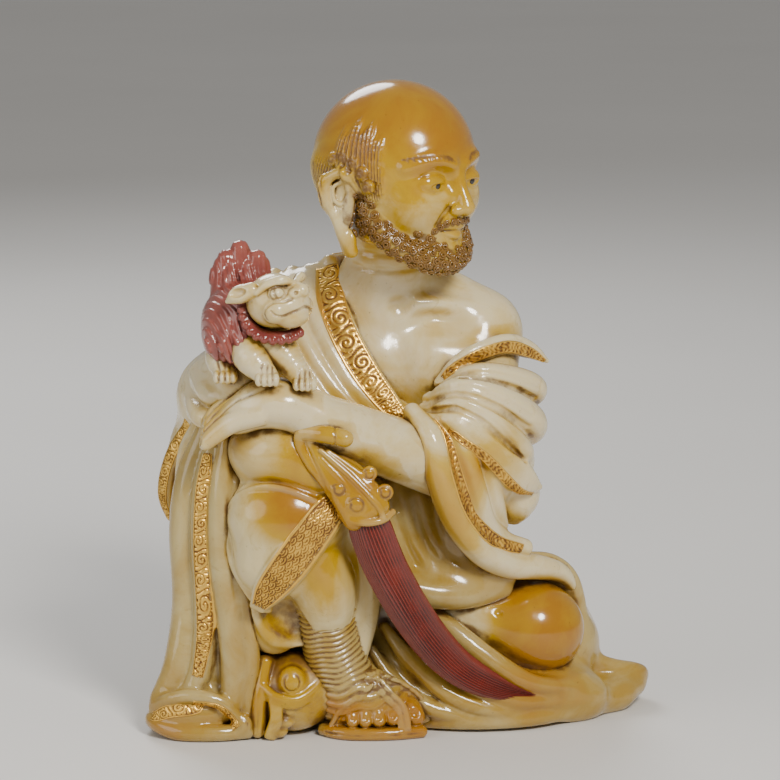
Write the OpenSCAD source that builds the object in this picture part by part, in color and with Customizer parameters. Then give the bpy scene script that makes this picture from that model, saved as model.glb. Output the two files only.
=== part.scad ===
// Carved soapstone figure of a seated monk with a lion cub and a fly whisk.
// It is put together from fitted stones of different colours. Lengths are in millimetres.
// X runs to the viewer's right, Y away from the viewer and Z up. The origin is on the resting face.

/* [Head] */
// Centre of the skull
skull = [-0.5, -2.5, 95]; // [-60:0.5:130]
// Half width, half depth and half height of the skull
skull_size = [12, 13.4, 12.8]; // [10:0.1:15]
// Turn of the face towards the figure's left
head_turn = 50; // [30:1:65]
// Nod of the face, positive down
head_nod = 3; // [-6:1:10]
// Height from the centre of the skull down to the chin
chin_drop = 16.6; // [15:0.2:19]
// Length of an ear from its top to its lobe
ear_l = 15; // [12:0.5:19]
// Radius of an inlaid pupil
pupil_r = 0.55; // [0.4:0.05:0.8]
// Radius of the neck
neck_r = 7.2; // [5.5:0.1:8]

/* [Torso] */
// Foot of the neck between the collar bones
neck_foot = [-2.5, 4.5, 68]; // [-60:0.5:130]
// Middle of the chest
chest = [-1.5, 4, 60]; // [-60:0.5:130]
// Half width, half depth and half height of the chest
chest_size = [14.5, 9.5, 11]; // [8:0.5:18]
// Middle of the belly
belly = [-0.5, 4, 46]; // [-60:0.5:130]
// Half width, half depth and half height of the belly
belly_size = [12.5, 10, 10]; // [8:0.5:16]
// Bare left shoulder joint
shoulder_l = [12.8, 5, 64.5]; // [-60:0.5:130]
// Robed right shoulder joint
shoulder_r = [-18.5, 6, 66]; // [-60:0.5:130]
// Radius of the rounded shoulder
shoulder_ball = 7.6; // [6:0.1:8.5]

/* [Arms] */
// Left elbow, inside its sleeve
elbow_l = [10.5, -8, 43]; // [-60:0.5:130]
// Left wrist
wrist_l = [-14, -20.5, 54.5]; // [-60:0.5:130]
// Knuckles of the left hand on the raised knee
knuckle_l = [-24.5, -22, 57]; // [-60:0.5:130]
// Radius of the forearm at the elbow
forearm_r = 5.2; // [4.4:0.1:6]
// Radius of the wrist
wrist_r = 3.4; // [2.8:0.1:4]
// Radius of a finger
finger_r = 1.35; // [1.1:0.05:1.6]
// Right elbow, inside the robe
elbow_r = [-29, -2, 55]; // [-60:0.5:130]
// Right hand under the lion, inside the robe
hand_r = [-24.5, -13.5, 60]; // [-60:0.5:130]

/* [Legs] */
// Raised right knee
knee_r = [-18.5, -14.5, 46]; // [-60:0.5:130]
// Right ankle
ankle_r = [-10.5, -10, 11]; // [-60:0.5:130]
// Ball of the right foot
ball_r = [-1.5, -12.5, 4.5]; // [-60:0.5:130]
// Radius of the calf
calf_r = 5.4; // [4.6:0.1:6]
// Folded left knee
knee_l = [22.5, -1.5, 15.4]; // [-60:0.5:130]
// Radius of the folded knee
knee_l_r = 8; // [7:0.1:9]
// Middle of the left foot
foot_l = [-19, -12, 7.2]; // [-60:0.5:130]
// Thickness of a sandal sole
sole_t = 1.8; // [1.2:0.1:2.4]

/* [Robe] */
// Middle of the seat
seat = [-1, 8, 17]; // [-60:0.5:130]
// Half width, half depth and half height of the seat
seat_size = [22, 13, 19]; // [8:0.5:24]
// Half width and half depth of the resting face
rest_size = [31, 14]; // [8:0.5:36]
// Corner of the hem at the figure's right
corner_r = [-36, -14, 3]; // [-60:0.5:130]
// Tip of the hem at the figure's left
corner_l = [41, 10.5, 3.8]; // [-60:0.5:130]
// Cloth standing proud of the body
cloth_t = 2.2; // [1.6:0.1:3]
// Radius of a large fold
fold_r = 2.6; // [2:0.1:3.2]
// Radius of the rolled hem
hem_r = 1.8; // [1.4:0.1:2.2]
// Folds piled on the left sleeve
sleeve_folds = 5; // [4:1:6]
// Folds falling at the right side
side_folds = 4; // [3:1:5]
// Folds from the right shoulder to the waist
chest_folds = 4; // [3:1:5]
// Folds hanging over the lap
lap_folds = 2; // [2:1:4]
// Folds on the ground in front
ground_folds = 4; // [3:1:5]
// Folds slanting down the back from the right shoulder
cape_folds = 5; // [4:1:8]
// Folds falling from the waist at the back
back_folds = 7; // [4:1:11]

/* [Whisk] */
// Neck of the whisk, where the hair starts
whisk = [-5.5, -22, 38.5]; // [-60:0.5:130]
// Tip of the hair on the ground
whisk_tip = [22, -8.5, 6]; // [-60:0.5:130]
// Radius of the hair at its neck
hair_r = 3.3; // [2.8:0.1:4]

/* [Lion] */
// Middle of the lion's back
lion = [-25.5, -15.5, 71]; // [-60:0.5:130]
// Middle of the lion's head
lion_head_at = [-20, -22, 74]; // [-60:0.5:130]
// Radius of the lion's body
lion_r = 6; // [5:0.1:7]
// Radius of the lion's head
lion_head_r = 4.8; // [4.2:0.1:5.4]

/* [Joinery] */
// Radius of a stub tenon
tenon_r = 2; // [1.5:0.1:2.6]
// Length of a stub tenon
tenon_l = 5; // [3:0.5:7]
// Glue line round a tenon
glue_gap = 0.05; // [0.02:0.01:0.15]

/* [Hidden] */

cream = "#e6d9b4";
amber = "#dc9324";
ochre = "#c79a4a";
cinnabar = "#8e2f24";
rose = "#a85048";
jet = "#241c16";

// Points and curves

function mix(a, b, t) = a + (b - a) * t;
function unit(v) = v / norm(v);

// Point t of the way from b to c on a smooth curve through a, b, c and d
function bend(a, b, c, d, t) =
    0.5 * (2 * b + (c - a) * t + (2 * a - 5 * b + 4 * c - d) * t * t + (3 * b - a - 3 * c + d) * t * t * t);

// A smooth curve through the stations of a path, with a few steps between neighbours
function smooth(path, steps) = let (n = len(path) - 1) [
    for (i = [0 : n - 1], k = [0 : steps - 1])
        bend(path[max(i - 1, 0)], path[i], path[i + 1], path[min(i + 2, n)], k / steps),
    path[n]
];

// Stations [x, y, z, r] from points and radii
function stations(points, radii) = [for (i = [0 : len(points) - 1]) [each points[i], radii[i]]];
function point(s) = [s.x, s.y, s.z];

// Points given from a landmark
function from(at, points) = [for (p = points) at + p];

// A direction that no part of a path runs along
function beside(path) = let (run = unit(point(path[len(path) - 1]) - point(path[0])))
    abs(run.z) < 0.8 ? [0, 0, 1] : [1, 0.3, 0];

// A ring of n points round c, square to the way t
function ring(c, t, ref, r, n) = let (u = unit(cross(ref, t)), v = cross(t, u))
    [for (k = [0 : n - 1]) c + r * (cos(360 * k / n) * u + sin(360 * k / n) * v)];

// Rounded forms

module ball(at, r, n = 8) translate(at) sphere(r = r, $fn = n);

module lump(at, size, n = 8) translate(at) scale(size) sphere(r = 1, $fn = n);

// A limb: balls of stone joined one to the next
module limb(points, radii, n = 8) {
    for (i = [0 : len(points) - 2]) hull() {
        ball(points[i], radii[i], n);
        ball(points[i + 1], radii[i + 1], n);
    }
}

// A rounded roll of stone with pointed ends, swept along points and radii
module roll(points, radii, steps = 1, n = 5) {
    path = smooth(stations(points, radii), steps);
    ref = beside(path);
    last = len(path) - 1;
    ways = [for (i = [0 : last]) unit(point(path[min(i + 1, last)]) - point(path[max(i - 1, 0)]))];
    rings = [for (i = [0 : last]) ring(point(path[i]), ways[i], ref, path[i][3], n)];
    tip = len(rings) * n;
    polyhedron(
        points = [
            for (r = rings) each r,
            point(path[0]) - path[0][3] * ways[0],
            point(path[last]) + path[last][3] * ways[last]
        ],
        faces = [
            for (i = [0 : last - 1], k = [0 : n - 1]) let (j = (k + 1) % n)
                each [[i * n + k, (i + 1) * n + k, (i + 1) * n + j], [i * n + k, (i + 1) * n + j, i * n + j]],
            for (k = [0 : n - 1]) let (j = (k + 1) % n)
                each [[tip, k, j], [tip + 1, last * n + j, last * n + k]]
        ]
    );
}

// A fan of rolls: each row gives the point of the first roll and of the last.
// The middle of the fan stands out by bow, and the rolls thin by taper from the first to the last.
module fan(count, rows, radii, bow = [0, 0, 0], taper = 0) {
    for (i = [0 : count - 1]) {
        t = i / (count - 1);
        stand = 4 * t * (1 - t) * bow;
        roll([for (row = rows) mix(row[0], row[1], t) + stand], radii * (1 + taper * (0.5 - t)));
    }
}

// A stub tenon, half of it in each stone
module tenon(at, turn, grow = 0) translate(at) rotate(turn) translate([0, 0, -tenon_l])
    cylinder(r = tenon_r + grow, h = tenon_l * 2, $fn = 10);

module below_ground() translate([-100, -100, -50]) cube([200, 200, 50]);

// Head, in its own frame: the face looks along -Y and the skull's centre is the origin

brow_z = 0.8;
nose_z = mix(brow_z, -chin_drop, 0.5);
lip_z = mix(nose_z, -chin_drop, 0.36);
eye_z = mix(skull_size.z, -chin_drop, 0.51);
eye_x = skull_size.x * 0.38;
face_y = -skull_size.y;
face_depth = skull_size.y - 5.2;
jaw_x = skull_size.x * 0.68;
nape = skull + [0, 3, -11];
neck_joint = mix(nape, neck_foot, 0.5);

module in_head() translate(skull) rotate([0, 0, head_turn]) rotate([head_nod, 0, 0]) children();

module ear(side) {
    top = [side * (skull_size.x - 0.8), 0.5, brow_z];
    lobe = [side * (skull_size.x - 2.6), -0.5, brow_z - ear_l];
    roll([top + [side * 0.4, 0.8, -0.6], top + [side * 0.8, 3, -4], mix(top, lobe, 0.65), lobe],
        [1, 1.4, 1.6, 1.8]);
}

module neck_form() limb([nape, neck_joint], [neck_r - 0.4, neck_r - 0.2]);

module head_form() {
    in_head() {
        lump([0, 0, 0], skull_size, 12);
        // Face, cheeks and jaw
        hull() {
            lump([0, face_y * 0.36, -4.5], [skull_size.x * 0.86, face_depth, 5]);
            lump([0, face_y * 0.68, -chin_drop + 3.2], [4.4, 3.6, 3.2], 8);
            for (side = [-1, 1]) {
                lump([side * jaw_x, 0.5, -10.5], [2.4, 3, 3], 6);
                lump([side * 5.4, face_y * 0.7, -6], [3, 3, 3], 6);
            }
        }
        for (side = [-1, 1]) {
            roll([[side * 1.4, face_y + 0.6, brow_z - 0.4], [side * 4.8, face_y + 1.2, brow_z + 0.5],
                [side * 8.4, face_y + 4, brow_z - 0.6]], [0.7, 0.9, 0.7]);
            // Eyelids and wings of the nose
            hull() lump([side * eye_x, face_y + 1.6, eye_z], [2.2, 1.3, 1.1], 6);
            hull() lump([side * 1.7, face_y + 0.2, nose_z + 0.9], [1, 1.2, 0.9], 6);
            ear(side);
        }
        hull() {
            lump([0, face_y + 0.8, brow_z - 1.4], [0.9, 0.9, 0.9], 6);
            lump([0, face_y - 1.5, nose_z + 1.3], [1.3, 1.3, 1.2], 8);
        }
        for (z = [0.55, -0.55]) hull() lump([0, face_y + 1.5, lip_z + z], [2.5, 1.3, 0.7], 6);
        // Beard along the jaw
        roll([[-jaw_x - 1.4, -1, -6], [-jaw_x + 0.6, face_y * 0.42, 3.6 - chin_drop],
            [0, face_y * 0.8, 1.4 - chin_drop], [jaw_x - 0.6, face_y * 0.42, 3.6 - chin_drop],
            [jaw_x + 1.4, -1, -6]], [1.2, 2.8, 3.2, 2.8, 1.2], 1, 6);
    }
    neck_form();
}

module neck_tenon(grow = 0) tenon(neck_joint - [0, 0, neck_r], [0, 0, 0], grow);

module head() color(amber) difference() {
    union() {
        head_form();
        neck_tenon();
    }
    pupils_form();
}

module pupils_form() in_head() for (side = [-1, 1])
    ball([side * eye_x, face_y + 0.6, eye_z], pupil_r, 6);

module pupils() color(jet) pupils_form();

// Torso

arm_mid = mix(shoulder_l, elbow_l, 0.5);
waist = seat + [1, -3, 13];

module trunk_form() hull() {
    lump(chest, chest_size, 10);
    lump(belly, belly_size);
    lump(waist, [belly_size.x, belly_size.y - 1, 6]);
}

module torso_form() {
    trunk_form();
    // Shoulders, and the slope from the neck out to each
    for (s = [shoulder_l, shoulder_r]) {
        hull() {
            ball(s, shoulder_ball);
            lump(chest + [0, 0, 3], chest_size * 0.62, 6);
        }
        hull() {
            ball(mix(neck_foot, s, 0.8) + [0, 1, 0.8], shoulder_ball * 0.8);
            ball(neck_foot + [0, 1, 3], neck_r + 0.4);
        }
    }
    limb([neck_foot, neck_joint], [neck_r + 0.8, neck_r]);
    limb([shoulder_l, arm_mid + [2, -1, 0]], [shoulder_ball, 6.2]);
}

module torso_tenon(grow = 0) tenon(waist - [0, 0, 5], [0, 0, 0], grow);

module torso() color(cream) difference() {
    union() {
        torso_form();
        torso_tenon();
    }
    neck_form();
    neck_tenon(glue_gap);
    left_forearm_form();
}

// Left arm and hand

module left_forearm_form() {
    limb([elbow_l, mix(elbow_l, wrist_l, 0.5) + [0, -0.8, 0.3], wrist_l],
        [forearm_r, forearm_r * 0.88, wrist_r]);
    hull() {
        ball(wrist_l, wrist_r);
        ball(knuckle_l + [1.5, 1.5, 0.5], 2.8);
        ball(knuckle_l + [1, -2.5, -0.5], 2.4);
    }
    // Four fingers drooping over the knee
    for (i = [0 : 3]) {
        root = knuckle_l + [1, 4 - 1.9 * i, 0.8 - 0.7 * i];
        limb([root, root + [-4, 0.4, -1.4], root + [-7.8, 0.8, -5.4 + 0.3 * i]],
            [finger_r + 0.35, finger_r + 0.25, finger_r * 0.9], 6);
    }
}

module left_forearm() color(cream) left_forearm_form();

// Left sleeve, slipped off the shoulder and piled on the arm

piled_rows = [
    [[-3.3, -5.5, 5], [-8.7, -9.5, 2]],
    [[1.5, -7.2, 6.8], [-4, -11, 3.2]],
    [[6.5, -5, 6.8], [1, -10.4, -1]],
    [[10, -1, 5], [5, -7.2, -7.5]],
    [[11.2, 3.5, 2], [9, -1.5, -13]]
];

// Wide cuff running on to the folded knee, and the hanging bag of the sleeve
module cuff_form() {
    roll([arm_mid + [-9.5, -10.5, 0.5], elbow_l + [-5.2, -8, 7.2], elbow_l + [-3.8, -9, 0.6],
        elbow_l + [-1.3, -6.2, -6], mix(elbow_l, knee_l, 0.5) + [-3.1, -6.4, 1.8], knee_l + [-4.5, -6, 12.4],
        knee_l + [0.5, -2, 11], knee_l + [4.5, 1.5, 9.2]], [1.8, 2.6, 2.8, 2.8, 2.7, 2.6, 2.4, 1.6]);
    roll([arm_mid + [-6, -9, 0], elbow_l + [0, -6.6, 3], elbow_l + [3, -5, -4], knee_l + [-6, -3, 14.6]],
        [1.8, 3.2, 3.4, 2.8]);
    limb(from(arm_mid, [[3, -2, -7], [5.6, 1.5, -13], [6.4, 2.5, -18.5]]), [5, 4.6, 3.4], 6);
}

module sleeve_core() hull() {
    lump(arm_mid + [1.5, 0.5, -1], [7.6, 8, 9], 8);
    lump(elbow_l + [1, 0, -1], [7, 7, 7], 8);
}

module left_sleeve_form() {
    // Piled folds, fanning out from the armpit
    fan(sleeve_folds, [for (row = piled_rows) from(arm_mid, row)],
        [1.4, fold_r, fold_r + 0.3, fold_r + 0.2, fold_r - 0.6]);
    // Turned collar, drawn out to a point
    roll(from(arm_mid, [[-4, -5.5, 6], [0.5, -5.5, 8.8], [5.5, -3, 9.8], [9.7, 1.5, 8], [12.8, 4.5, 6.5]]),
        [1, 1.5, 1.6, 1.4, 0.6]);
    sleeve_core();
    cuff_form();
}

module left_sleeve() color(cream) difference() {
    left_sleeve_form();
    torso_form();
    left_forearm_form();
    left_knee_form();
}

// Robe over the right shoulder, cut away along the neckline

// A point of the neckline on the chest, and the way out of the cloth there
neckline = chest + [-4.5, -10.5, -0.5];
neckline_way = unit([0.58, -0.55, 0.61]);
chest_rows = [
    [[-6, 11.5, 16], [-15, 13.5, 14.5]],
    [[-5, 4.5, 10], [-15.5, 4, 9]],
    [[0, 0, 0], [-9.5, -1, -0.5]],
    [[6.5, -1.5, -7.5], [-2.5, -2.5, -8]]
];

module bare_side() {
    lean = acos(neckline_way.z);
    aim = atan2(neckline_way.y, neckline_way.x);
    translate(neckline) rotate([0, lean, aim]) translate([-80, -80, 0]) cube([160, 160, 80]);
}

cape_rows = [
    [chest + [-10.5, 8.4, 12], elbow_r + [2, 8.5, 4]],
    [chest + [1, 11.6, 3], elbow_r + [7, 14, -6]],
    [chest + [9, 11.2, -4], elbow_r + [14, 15, -13]],
    [chest + [14.5, 5.8, -10], chest + [-10.5, 11, -25]]
];

// Cloth over the back, the arm in its sleeve, the forearm under the lion and the sleeve's hanging end
module shoulder_cloth() {
    difference() {
        union() {
            hull() {
                lump(chest + [-1, 0.5, 0], chest_size + cloth_t * [1, 1, 1], 10);
                lump(waist + [-1, 2, 5], [belly_size.x + 3, belly_size.y + cloth_t, 9], 10);
            }
            limb([neck_foot + [-6.5, 2, 2], shoulder_r, elbow_r + [3, 4.4, 1], elbow_r + [1, 3, -4]],
                [6.4, shoulder_ball + 0.8, 8.2, 7.6]);
            lump(elbow_r + [9, 7, -5], [10, 8, 12]);
        }
        bare_side();
    }
    limb([elbow_r, hand_r], [8.4, 6.2]);
    limb(from(elbow_r, [[-2, 3, -4], [-5.6, 4.6, -11.6], [-6.2, 5.6, -19]]), [5.8, 4.7, 3.4], 6);
}

module shoulder_robe_form() {
    shoulder_cloth();
    // Folds from the shoulder to the waist, the first along the neckline
    fan(chest_folds, [for (row = chest_rows) from(neckline, row)], [1.4, 1.9, 2, 1.7]);
    // Edge of the cloth across the back, the folds slanting down from it, and the rolled hem below them
    roll(from(chest, [[-10.8, 0.6, 16], [-6, 6.2, 15.2], [2.5, 9.2, 11], [11, 9.4, 4], [16, 5, -5]]),
        [1.4, 1.7, 1.7, 1.7, 1.2]);
    fan(cape_folds, cape_rows, [1, 1.8, 1.8, 1.2], [0, 2.3, 0]);
    roll([for (a = [10 : 32 : 170]) waist + [(belly_size.x + 2) * cos(a) - 1, (belly_size.y + 1.4) * sin(a) + 2,
        2.5 + 2.5 * cos(a)]], [for (a = [10 : 32 : 170]) hem_r * 0.75]);
    // Edges of the hanging sleeve
    roll(from(elbow_r, [[-4.6, -3, -3], [-8, -0.6, -9.4], [-9.6, 2, -16.4], [-8.4, 5, -22]]),
        [1.4, 1.8, 1.8, 1.4]);
    roll(from(elbow_r, [[-2, -6.6, -1], [-5.6, -4.4, -8], [-6.4, -2.4, -16], [-5.6, 0, -21.4]]),
        [1.4, 2, 2, 1.4]);
}

module lion_tenon(grow = 0) tenon(lion + [0.5, 1.5, -6.5], [0, 0, 0], grow);

module shoulder_robe() color(cream) difference() {
    shoulder_robe_form();
    torso_form();
    left_forearm_form();
    sleeve_core();
    cuff_form();
    raised_leg_form();
    lion_tenon(glue_gap);
}

// Raised right leg in its trousers

hip_r = seat + [-6, 0, 4];

module raised_leg_form() {
    limb([hip_r, knee_r], [10.5, 8.2], 6);
    // Knee dome, and the trouser leg drawn down to a point
    hull() {
        lump(knee_r + [0, 0, 2.4], [9.6, 8.4, 7.2]);
        lump(knee_r + [5.2, -1, 0], [8.4, 7.4, 6.4]);
    }
    hull() {
        lump(knee_r + [0.5, -2.8, -8], [9.6, 7.4, 8]);
        lump(knee_r + [-1, -3, -14.6], [7.8, 6.2, 6.6], 8);
        ball(knee_r + [-4, -4.5, -22], 1.8, 6);
    }
    limb([knee_r + [2, -1, -10], knee_r + [5.8, -1.8, -19.5], ankle_r + [-1.5, -4, 9]],
        [calf_r + 0.6, calf_r - 0.3, calf_r - 1]);
    // Far side of the trouser leg behind the calf, and its end drawn down towards the heel
    limb(from(knee_r, [[9, 1.5, -13], [10.4, 3.8, -21], [10.2, 5, -31]]), [4.6, 4.4, 3.4], 6);
    lump(knee_r + [-1, 0, -25.4], [4.4, 3.8, 6], 6);
    // Gilt band at the end of the trouser leg, and the seam up its side
    roll(from(knee_r, [[8.5, -6.5, -4.6], [6, -8, -7.4], [1, -9, -14], [-2.5, -7.5, -19], [-4.7, -5.5, -22.6]]),
        [1.2, 1.9, 2.1, 1.9, 1.2]);
    roll(from(knee_r, [[-8, -3.5, -1], [-9.4, -4, -10], [-7, -5, -18.5], [-3.6, -5.5, -23]]),
        [1.2, 1.5, 1.5, 1.2]);
}

module raised_leg() color(amber) difference() {
    raised_leg_form();
    trunk_form();
    left_forearm_form();
    right_foot_form();
    whisk_head_form();
    whisk_hair_form();
}

// Right foot in a bound legging and a straw sandal

module right_foot_form() {
    limb(from(ankle_r, [[-1, -4, 9.5], [0, -1, 3], [1, 0, -3]]), [calf_r + 0.3, 5, 4.8]);
    limb([ankle_r + [1, 0, -3.5], mix(ankle_r, ball_r, 0.6) + [0, 0, -1], ball_r], [4.8, 4.4, 3.2], 6);
    // Sole, from the heel to the toes
    hull() for (p = [ankle_r + [-2.5, 1.5, 0], ankle_r + [2.5, -1, 0], ball_r + [-5, -2.4, 0],
        ball_r + [4.8, 1.6, 0]]) translate([p.x, p.y, 0]) cylinder(r = 2, h = sole_t, $fn = 10);
    for (i = [0 : 4]) {
        root = ball_r + [2.3 - 2.15 * i, 0.3 - 0.9 * min(i, 2), 0.6 - 0.1 * i];
        limb([root, root + [1 - 0.2 * i, -2.1, -1.6]], [1.6 - 0.12 * i, 1.5 - 0.12 * i], 6);
    }
}

module right_foot() color(ochre) difference() {
    right_foot_form();
    below_ground();
}

// Left foot, tucked under the raised leg with its sole to the side

module left_foot_form() {
    limb(from(foot_l, [[12, 6, 2], [5, 1, 0.5], [0.5, 0, 0]]), [5, 5.8, 5.6], 6);
    hull() for (z = [-5, 5], y = [-3.4, 3]) ball(foot_l + [-3.8, y, z], 1.5, 6);
    // Big toe, and the strap across the foot
    limb(from(foot_l, [[-1, -3.4, 2.6], [1, -5.4, 2.4]]), [2.6, 2.3], 8);
    limb(from(foot_l, [[-3, -4.6, -2.4], [1.5, -5.6, -1.4], [5, -4, 1]]), [1.3, 1.2, 1.2], 6);
}

module left_foot() color(amber) difference() {
    left_foot_form();
    right_foot_form();
    raised_leg_form();
    below_ground();
}

// Left knee, an amber boss let into the robe

module left_knee_form() hull() lump(knee_l, knee_l_r * [1.06, 1, 0.98], 12);

module knee_tenon(grow = 0) tenon(knee_l + [0, knee_l_r, 0], [-90, 0, 0], grow);

module left_knee() color(amber) {
    left_knee_form();
    knee_tenon();
}

// Lower robe, from the waist to the hem on the ground

side_rows = [
    [knee_r + [-13.5, 4, 5], knee_r + [-8.7, -0.3, 2]],
    [knee_r + [-16.3, 4.7, -6], knee_r + [-8.4, -1.2, -9]],
    [corner_r + [1, 4, 23], corner_r + [10.6, -1.8, 22]],
    [corner_r + [-0.2, 2.8, 10], corner_r + [11.4, -1.4, 10]],
    [corner_r + [-3.4, 2.4, 3], corner_r + [11, -1, 2]]
];
ground_rows = [
    [seat + [4, -14.4, 3.6], ankle_r + [5.7, 1.6, 2.4]],
    [seat + [11, -17.4, -1], ankle_r + [10, -0.6, -3.4]],
    [knee_l + [-4, -8.6, -5.4], ankle_r + [15, -1.4, -6.8]],
    [knee_l + [6.5, -4, -8.6], ankle_r + [22.5, -1.4, -8.6]]
];
lap_rows = [
    [belly + [-1.5, -9.6, -4], belly + [5.5, -9, -5]],
    [seat + [2, -15.4, 16], seat + [8.5, -15, 15.5]],
    [seat + [6, -15.6, 10], seat + [12.4, -15, 11]]
];
// Middle of the resting face
rest = [-1, 5.5, 0];

module lower_robe_form() {
    lump(seat, seat_size, 10);
    lump(rest + [0, 0, 2.5], [rest_size.x, rest_size.y, 6], 12);
    // Waist, and the thigh of the folded leg with the cloth beyond it
    lump(belly + [1, -1, -9], [belly_size.x + 1, belly_size.y + 0.4, 7]);
    limb([seat + [5, -2, -2], knee_l + [-3, 5, -2], knee_l + [4, 7, -4]], [9.5, 8, 7.2], 6);
    hull() {
        lump(knee_l + [-1.5, 9.5, 1.6], [9.6, 7.6, 9]);
        lump(knee_l + [4, 9.5, -5.8], [7, 6, 8], 6);
    }
    // Cloth at the right side, and its folds from the knee to the corner of the hem
    limb([knee_r + [-8.5, 6, -2], knee_r + [-10, 6, -18], corner_r + [7, 8, 6]], [5.8, 6.4, 7.6], 6);
    fan(side_folds, side_rows, [1.3, 2.1, 2.3, 2.2, 1.7], [0, -1.5, 0], 0.5);
    // Turned-up corner of the hem, and the cloth from it round to the back
    lump(corner_r + [2, 3, 1], [7.6, 6.4, 4.6], 6);
    hull() {
        lump(corner_r + [4, 10, 0], [7.6, 9, 3.6], 6);
        lump(corner_r + [9, 16, 9], [6.5, 8, 9], 6);
        ball(seat + [-19, -6, 13], 8);
    }
    roll(from(corner_r, [[10.8, -2, -1.5], [5, -3.2, -1.6], [-1, -2.2, -1.5], [-5, 2, -0.6], [-3, 10, -1.4],
        [2, 17, -1.6]]), hem_r * [0.7, 0.8, 0.8, 0.8, 0.8, 0.7]);
    roll(from(corner_r, [[-4.8, 1.6, 1.6], [-2, -1.4, 3.8], [2.4, -2.8, 4.6], [6.6, -3, 3.6], [9.2, -2.8, 1]]),
        [0.9, 1.1, 1.2, 1.1, 0.9]);
    // Hem along the front, to its tip at the left
    roll([seat + [-2, -14.4, -15.4], seat + [7, -18, -15.2], seat + [15, -19, -15], knee_l + [0, -7.5, -13.4],
        knee_l + [7.5, -1.5, -13.4], corner_l + [-5, -6.5, -1.9]], hem_r * [0.8, 0.8, 0.8, 0.8, 0.8, 0.8]);
    hull() {
        lump(corner_l + [-5.6, -1.5, -0.6], [6.8, 5.6, 3.4], 6);
        lump(corner_l + [-12, -6, -0.8], [5, 5, 3], 6);
    }
    // Cloth standing behind the folded knee, its rim running on into the tip
    roll([each from(knee_l, [[-7.5, -3.5, 12.6], [2.5, 1, 11.2], [6, 3.5, 8.2], [8, 5.6, 0.4], [9.3, 7, -6.4]]),
        each from(corner_l, [[-5.2, -4.3, 3.2], [-1, -2.5, 2], [0.2, 0.5, 0.6], [-2.4, 4, -1.2]])],
        [1.2, 1.5, 1.5, 1.5, 1.4, 1.4, 1.4, 1.4, 1.2]);
    limb(from(knee_l, [[-4.5, 3.5, 9.2], [3, 7, 7.2], [7, 10.5, -6]]), [3, 3.4, 2.8], 6);
    // Lap, and the folds on the ground in front of the shin
    hull() {
        lump(seat + [5, -8.6, 16], [11, 6.4, 11]);
        lump(seat + [10, -12.4, 9], [11, 5.4, 4.6]);
    }
    roll([each from(seat, [[-6, -13.6, 8], [0, -17.2, 7.6], [6, -17.8, 6.4], [12, -16.4, 5.8]]),
        knee_l + [-5.5, -3.5, 7.4]], [1.6, 2.5, 2.6, 2.4, 1.6]);
    hull() {
        lump(seat + [7, -11.6, -10], [16, 7.2, 9.6]);
        lump(knee_l + [-3.5, -2, -10.4], [12, 6.4, 6], 6);
    }
    fan(lap_folds, lap_rows, [1.4, 2, 1.6]);
    fan(ground_folds, ground_rows, [1.2, 1.8, 1.8, 1], taper = 0.3);
    // Folds down the back, broad and narrow by turns
    for (i = [0 : back_folds - 1]) {
        a = mix(12, 168, i / (back_folds - 1));
        odd = i % 2;
        top = seat + [(seat_size.x - 6) * cos(a), (seat_size.y - 3.4) * sin(a), 14 - 2 * odd];
        foot = rest + [(rest_size.x - 0.6) * cos(a), (rest_size.y - 0.6) * sin(a), 3];
        sway = [1.6 * cos(a) + 1.2 - 2.4 * odd, 2.2 * sin(a), -0.6];
        roll([top, mix(top, foot, 0.5) + sway, foot], fold_r * (0.7 + 0.3 * odd) * [0.5, 1.05, 0.85]);
    }
}

module lower_robe() color(ochre) difference() {
    lower_robe_form();
    trunk_form();
    torso_tenon(glue_gap);
    cuff_form();
    shoulder_cloth();
    raised_leg_form();
    right_foot_form();
    left_foot_form();
    left_knee_form();
    knee_tenon(glue_gap);
    whisk_hair_form();
    below_ground();
}

// Fly whisk: a scrolled head on a short handle, and the hair

module whisk_head_form() {
    limb(from(whisk, [[-9, 0.4, 14.4], [-3, -1, 13.6]]), [1.5, 1.5]);
    hull() {
        lump(whisk + [-7.4, 0.5, 12.8], [1.7, 1.8, 2], 6);
        lump(whisk + [-3.8, 0.2, 3], [2.4, 2.4, 2], 8);
        lump(whisk + [3.6, 0, 3], [2.2, 2.4, 2], 8);
    }
    // Scrolls on both edges and the rib down the middle
    for (p = [[-4.4, -1.6, 2.8], [-5.2, -1.4, 6], [4.8, -1.4, 3.4], [2.6, -1.2, 6.6]])
        hull() ball(whisk + p, 1.6, 6);
    limb(from(whisk, [[-6.2, -1, 11], [-1, -1.6, 6], [2.6, -1.8, 2.2]]), [0.9, 1, 1.1], 6);
}

module whisk_head() color(amber) difference() {
    whisk_head_form();
    left_forearm_form();
}

module whisk_hair_form()
    roll([whisk + [0, 0, 1.5], whisk + [3.5, 3, -9], whisk + [9, 6.5, -19.5],
        mix(whisk, whisk_tip, 0.7) + [-1.6, 0, -6.5], whisk_tip],
        [hair_r, hair_r + 0.2, hair_r, hair_r - 0.5, 0.8], 2, 8);

module whisk_hair() color(cinnabar) difference() {
    whisk_hair_form();
    whisk_head_form();
}

// Lion cub

module lion_coat_form() {
    limb(from(lion, [[-3, 4, -1.5], [0, 0, 0], [3, -3.5, 0.5]]), [lion_r - 0.6, lion_r, lion_r - 0.4]);
    // Three flames of the tail, and the ruff under the chin
    for (i = [0 : 2]) {
        root = lion + [-2.5 + 2 * i, 2.5, 4];
        roll([root, root + [-0.8 + 0.9 * i, 0.8, 4], root + [-0.2 + 0.9 * i, 0, 6.6 - abs(i - 1)]],
            [2.2, 2, 1.2]);
    }
    roll(from(lion_head_at, [[-3, 2, -4], [1.5, -0.5, -4.6], [4, 1.5, -2.5]]), [1.6, 1.5, 1.2]);
}

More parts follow.
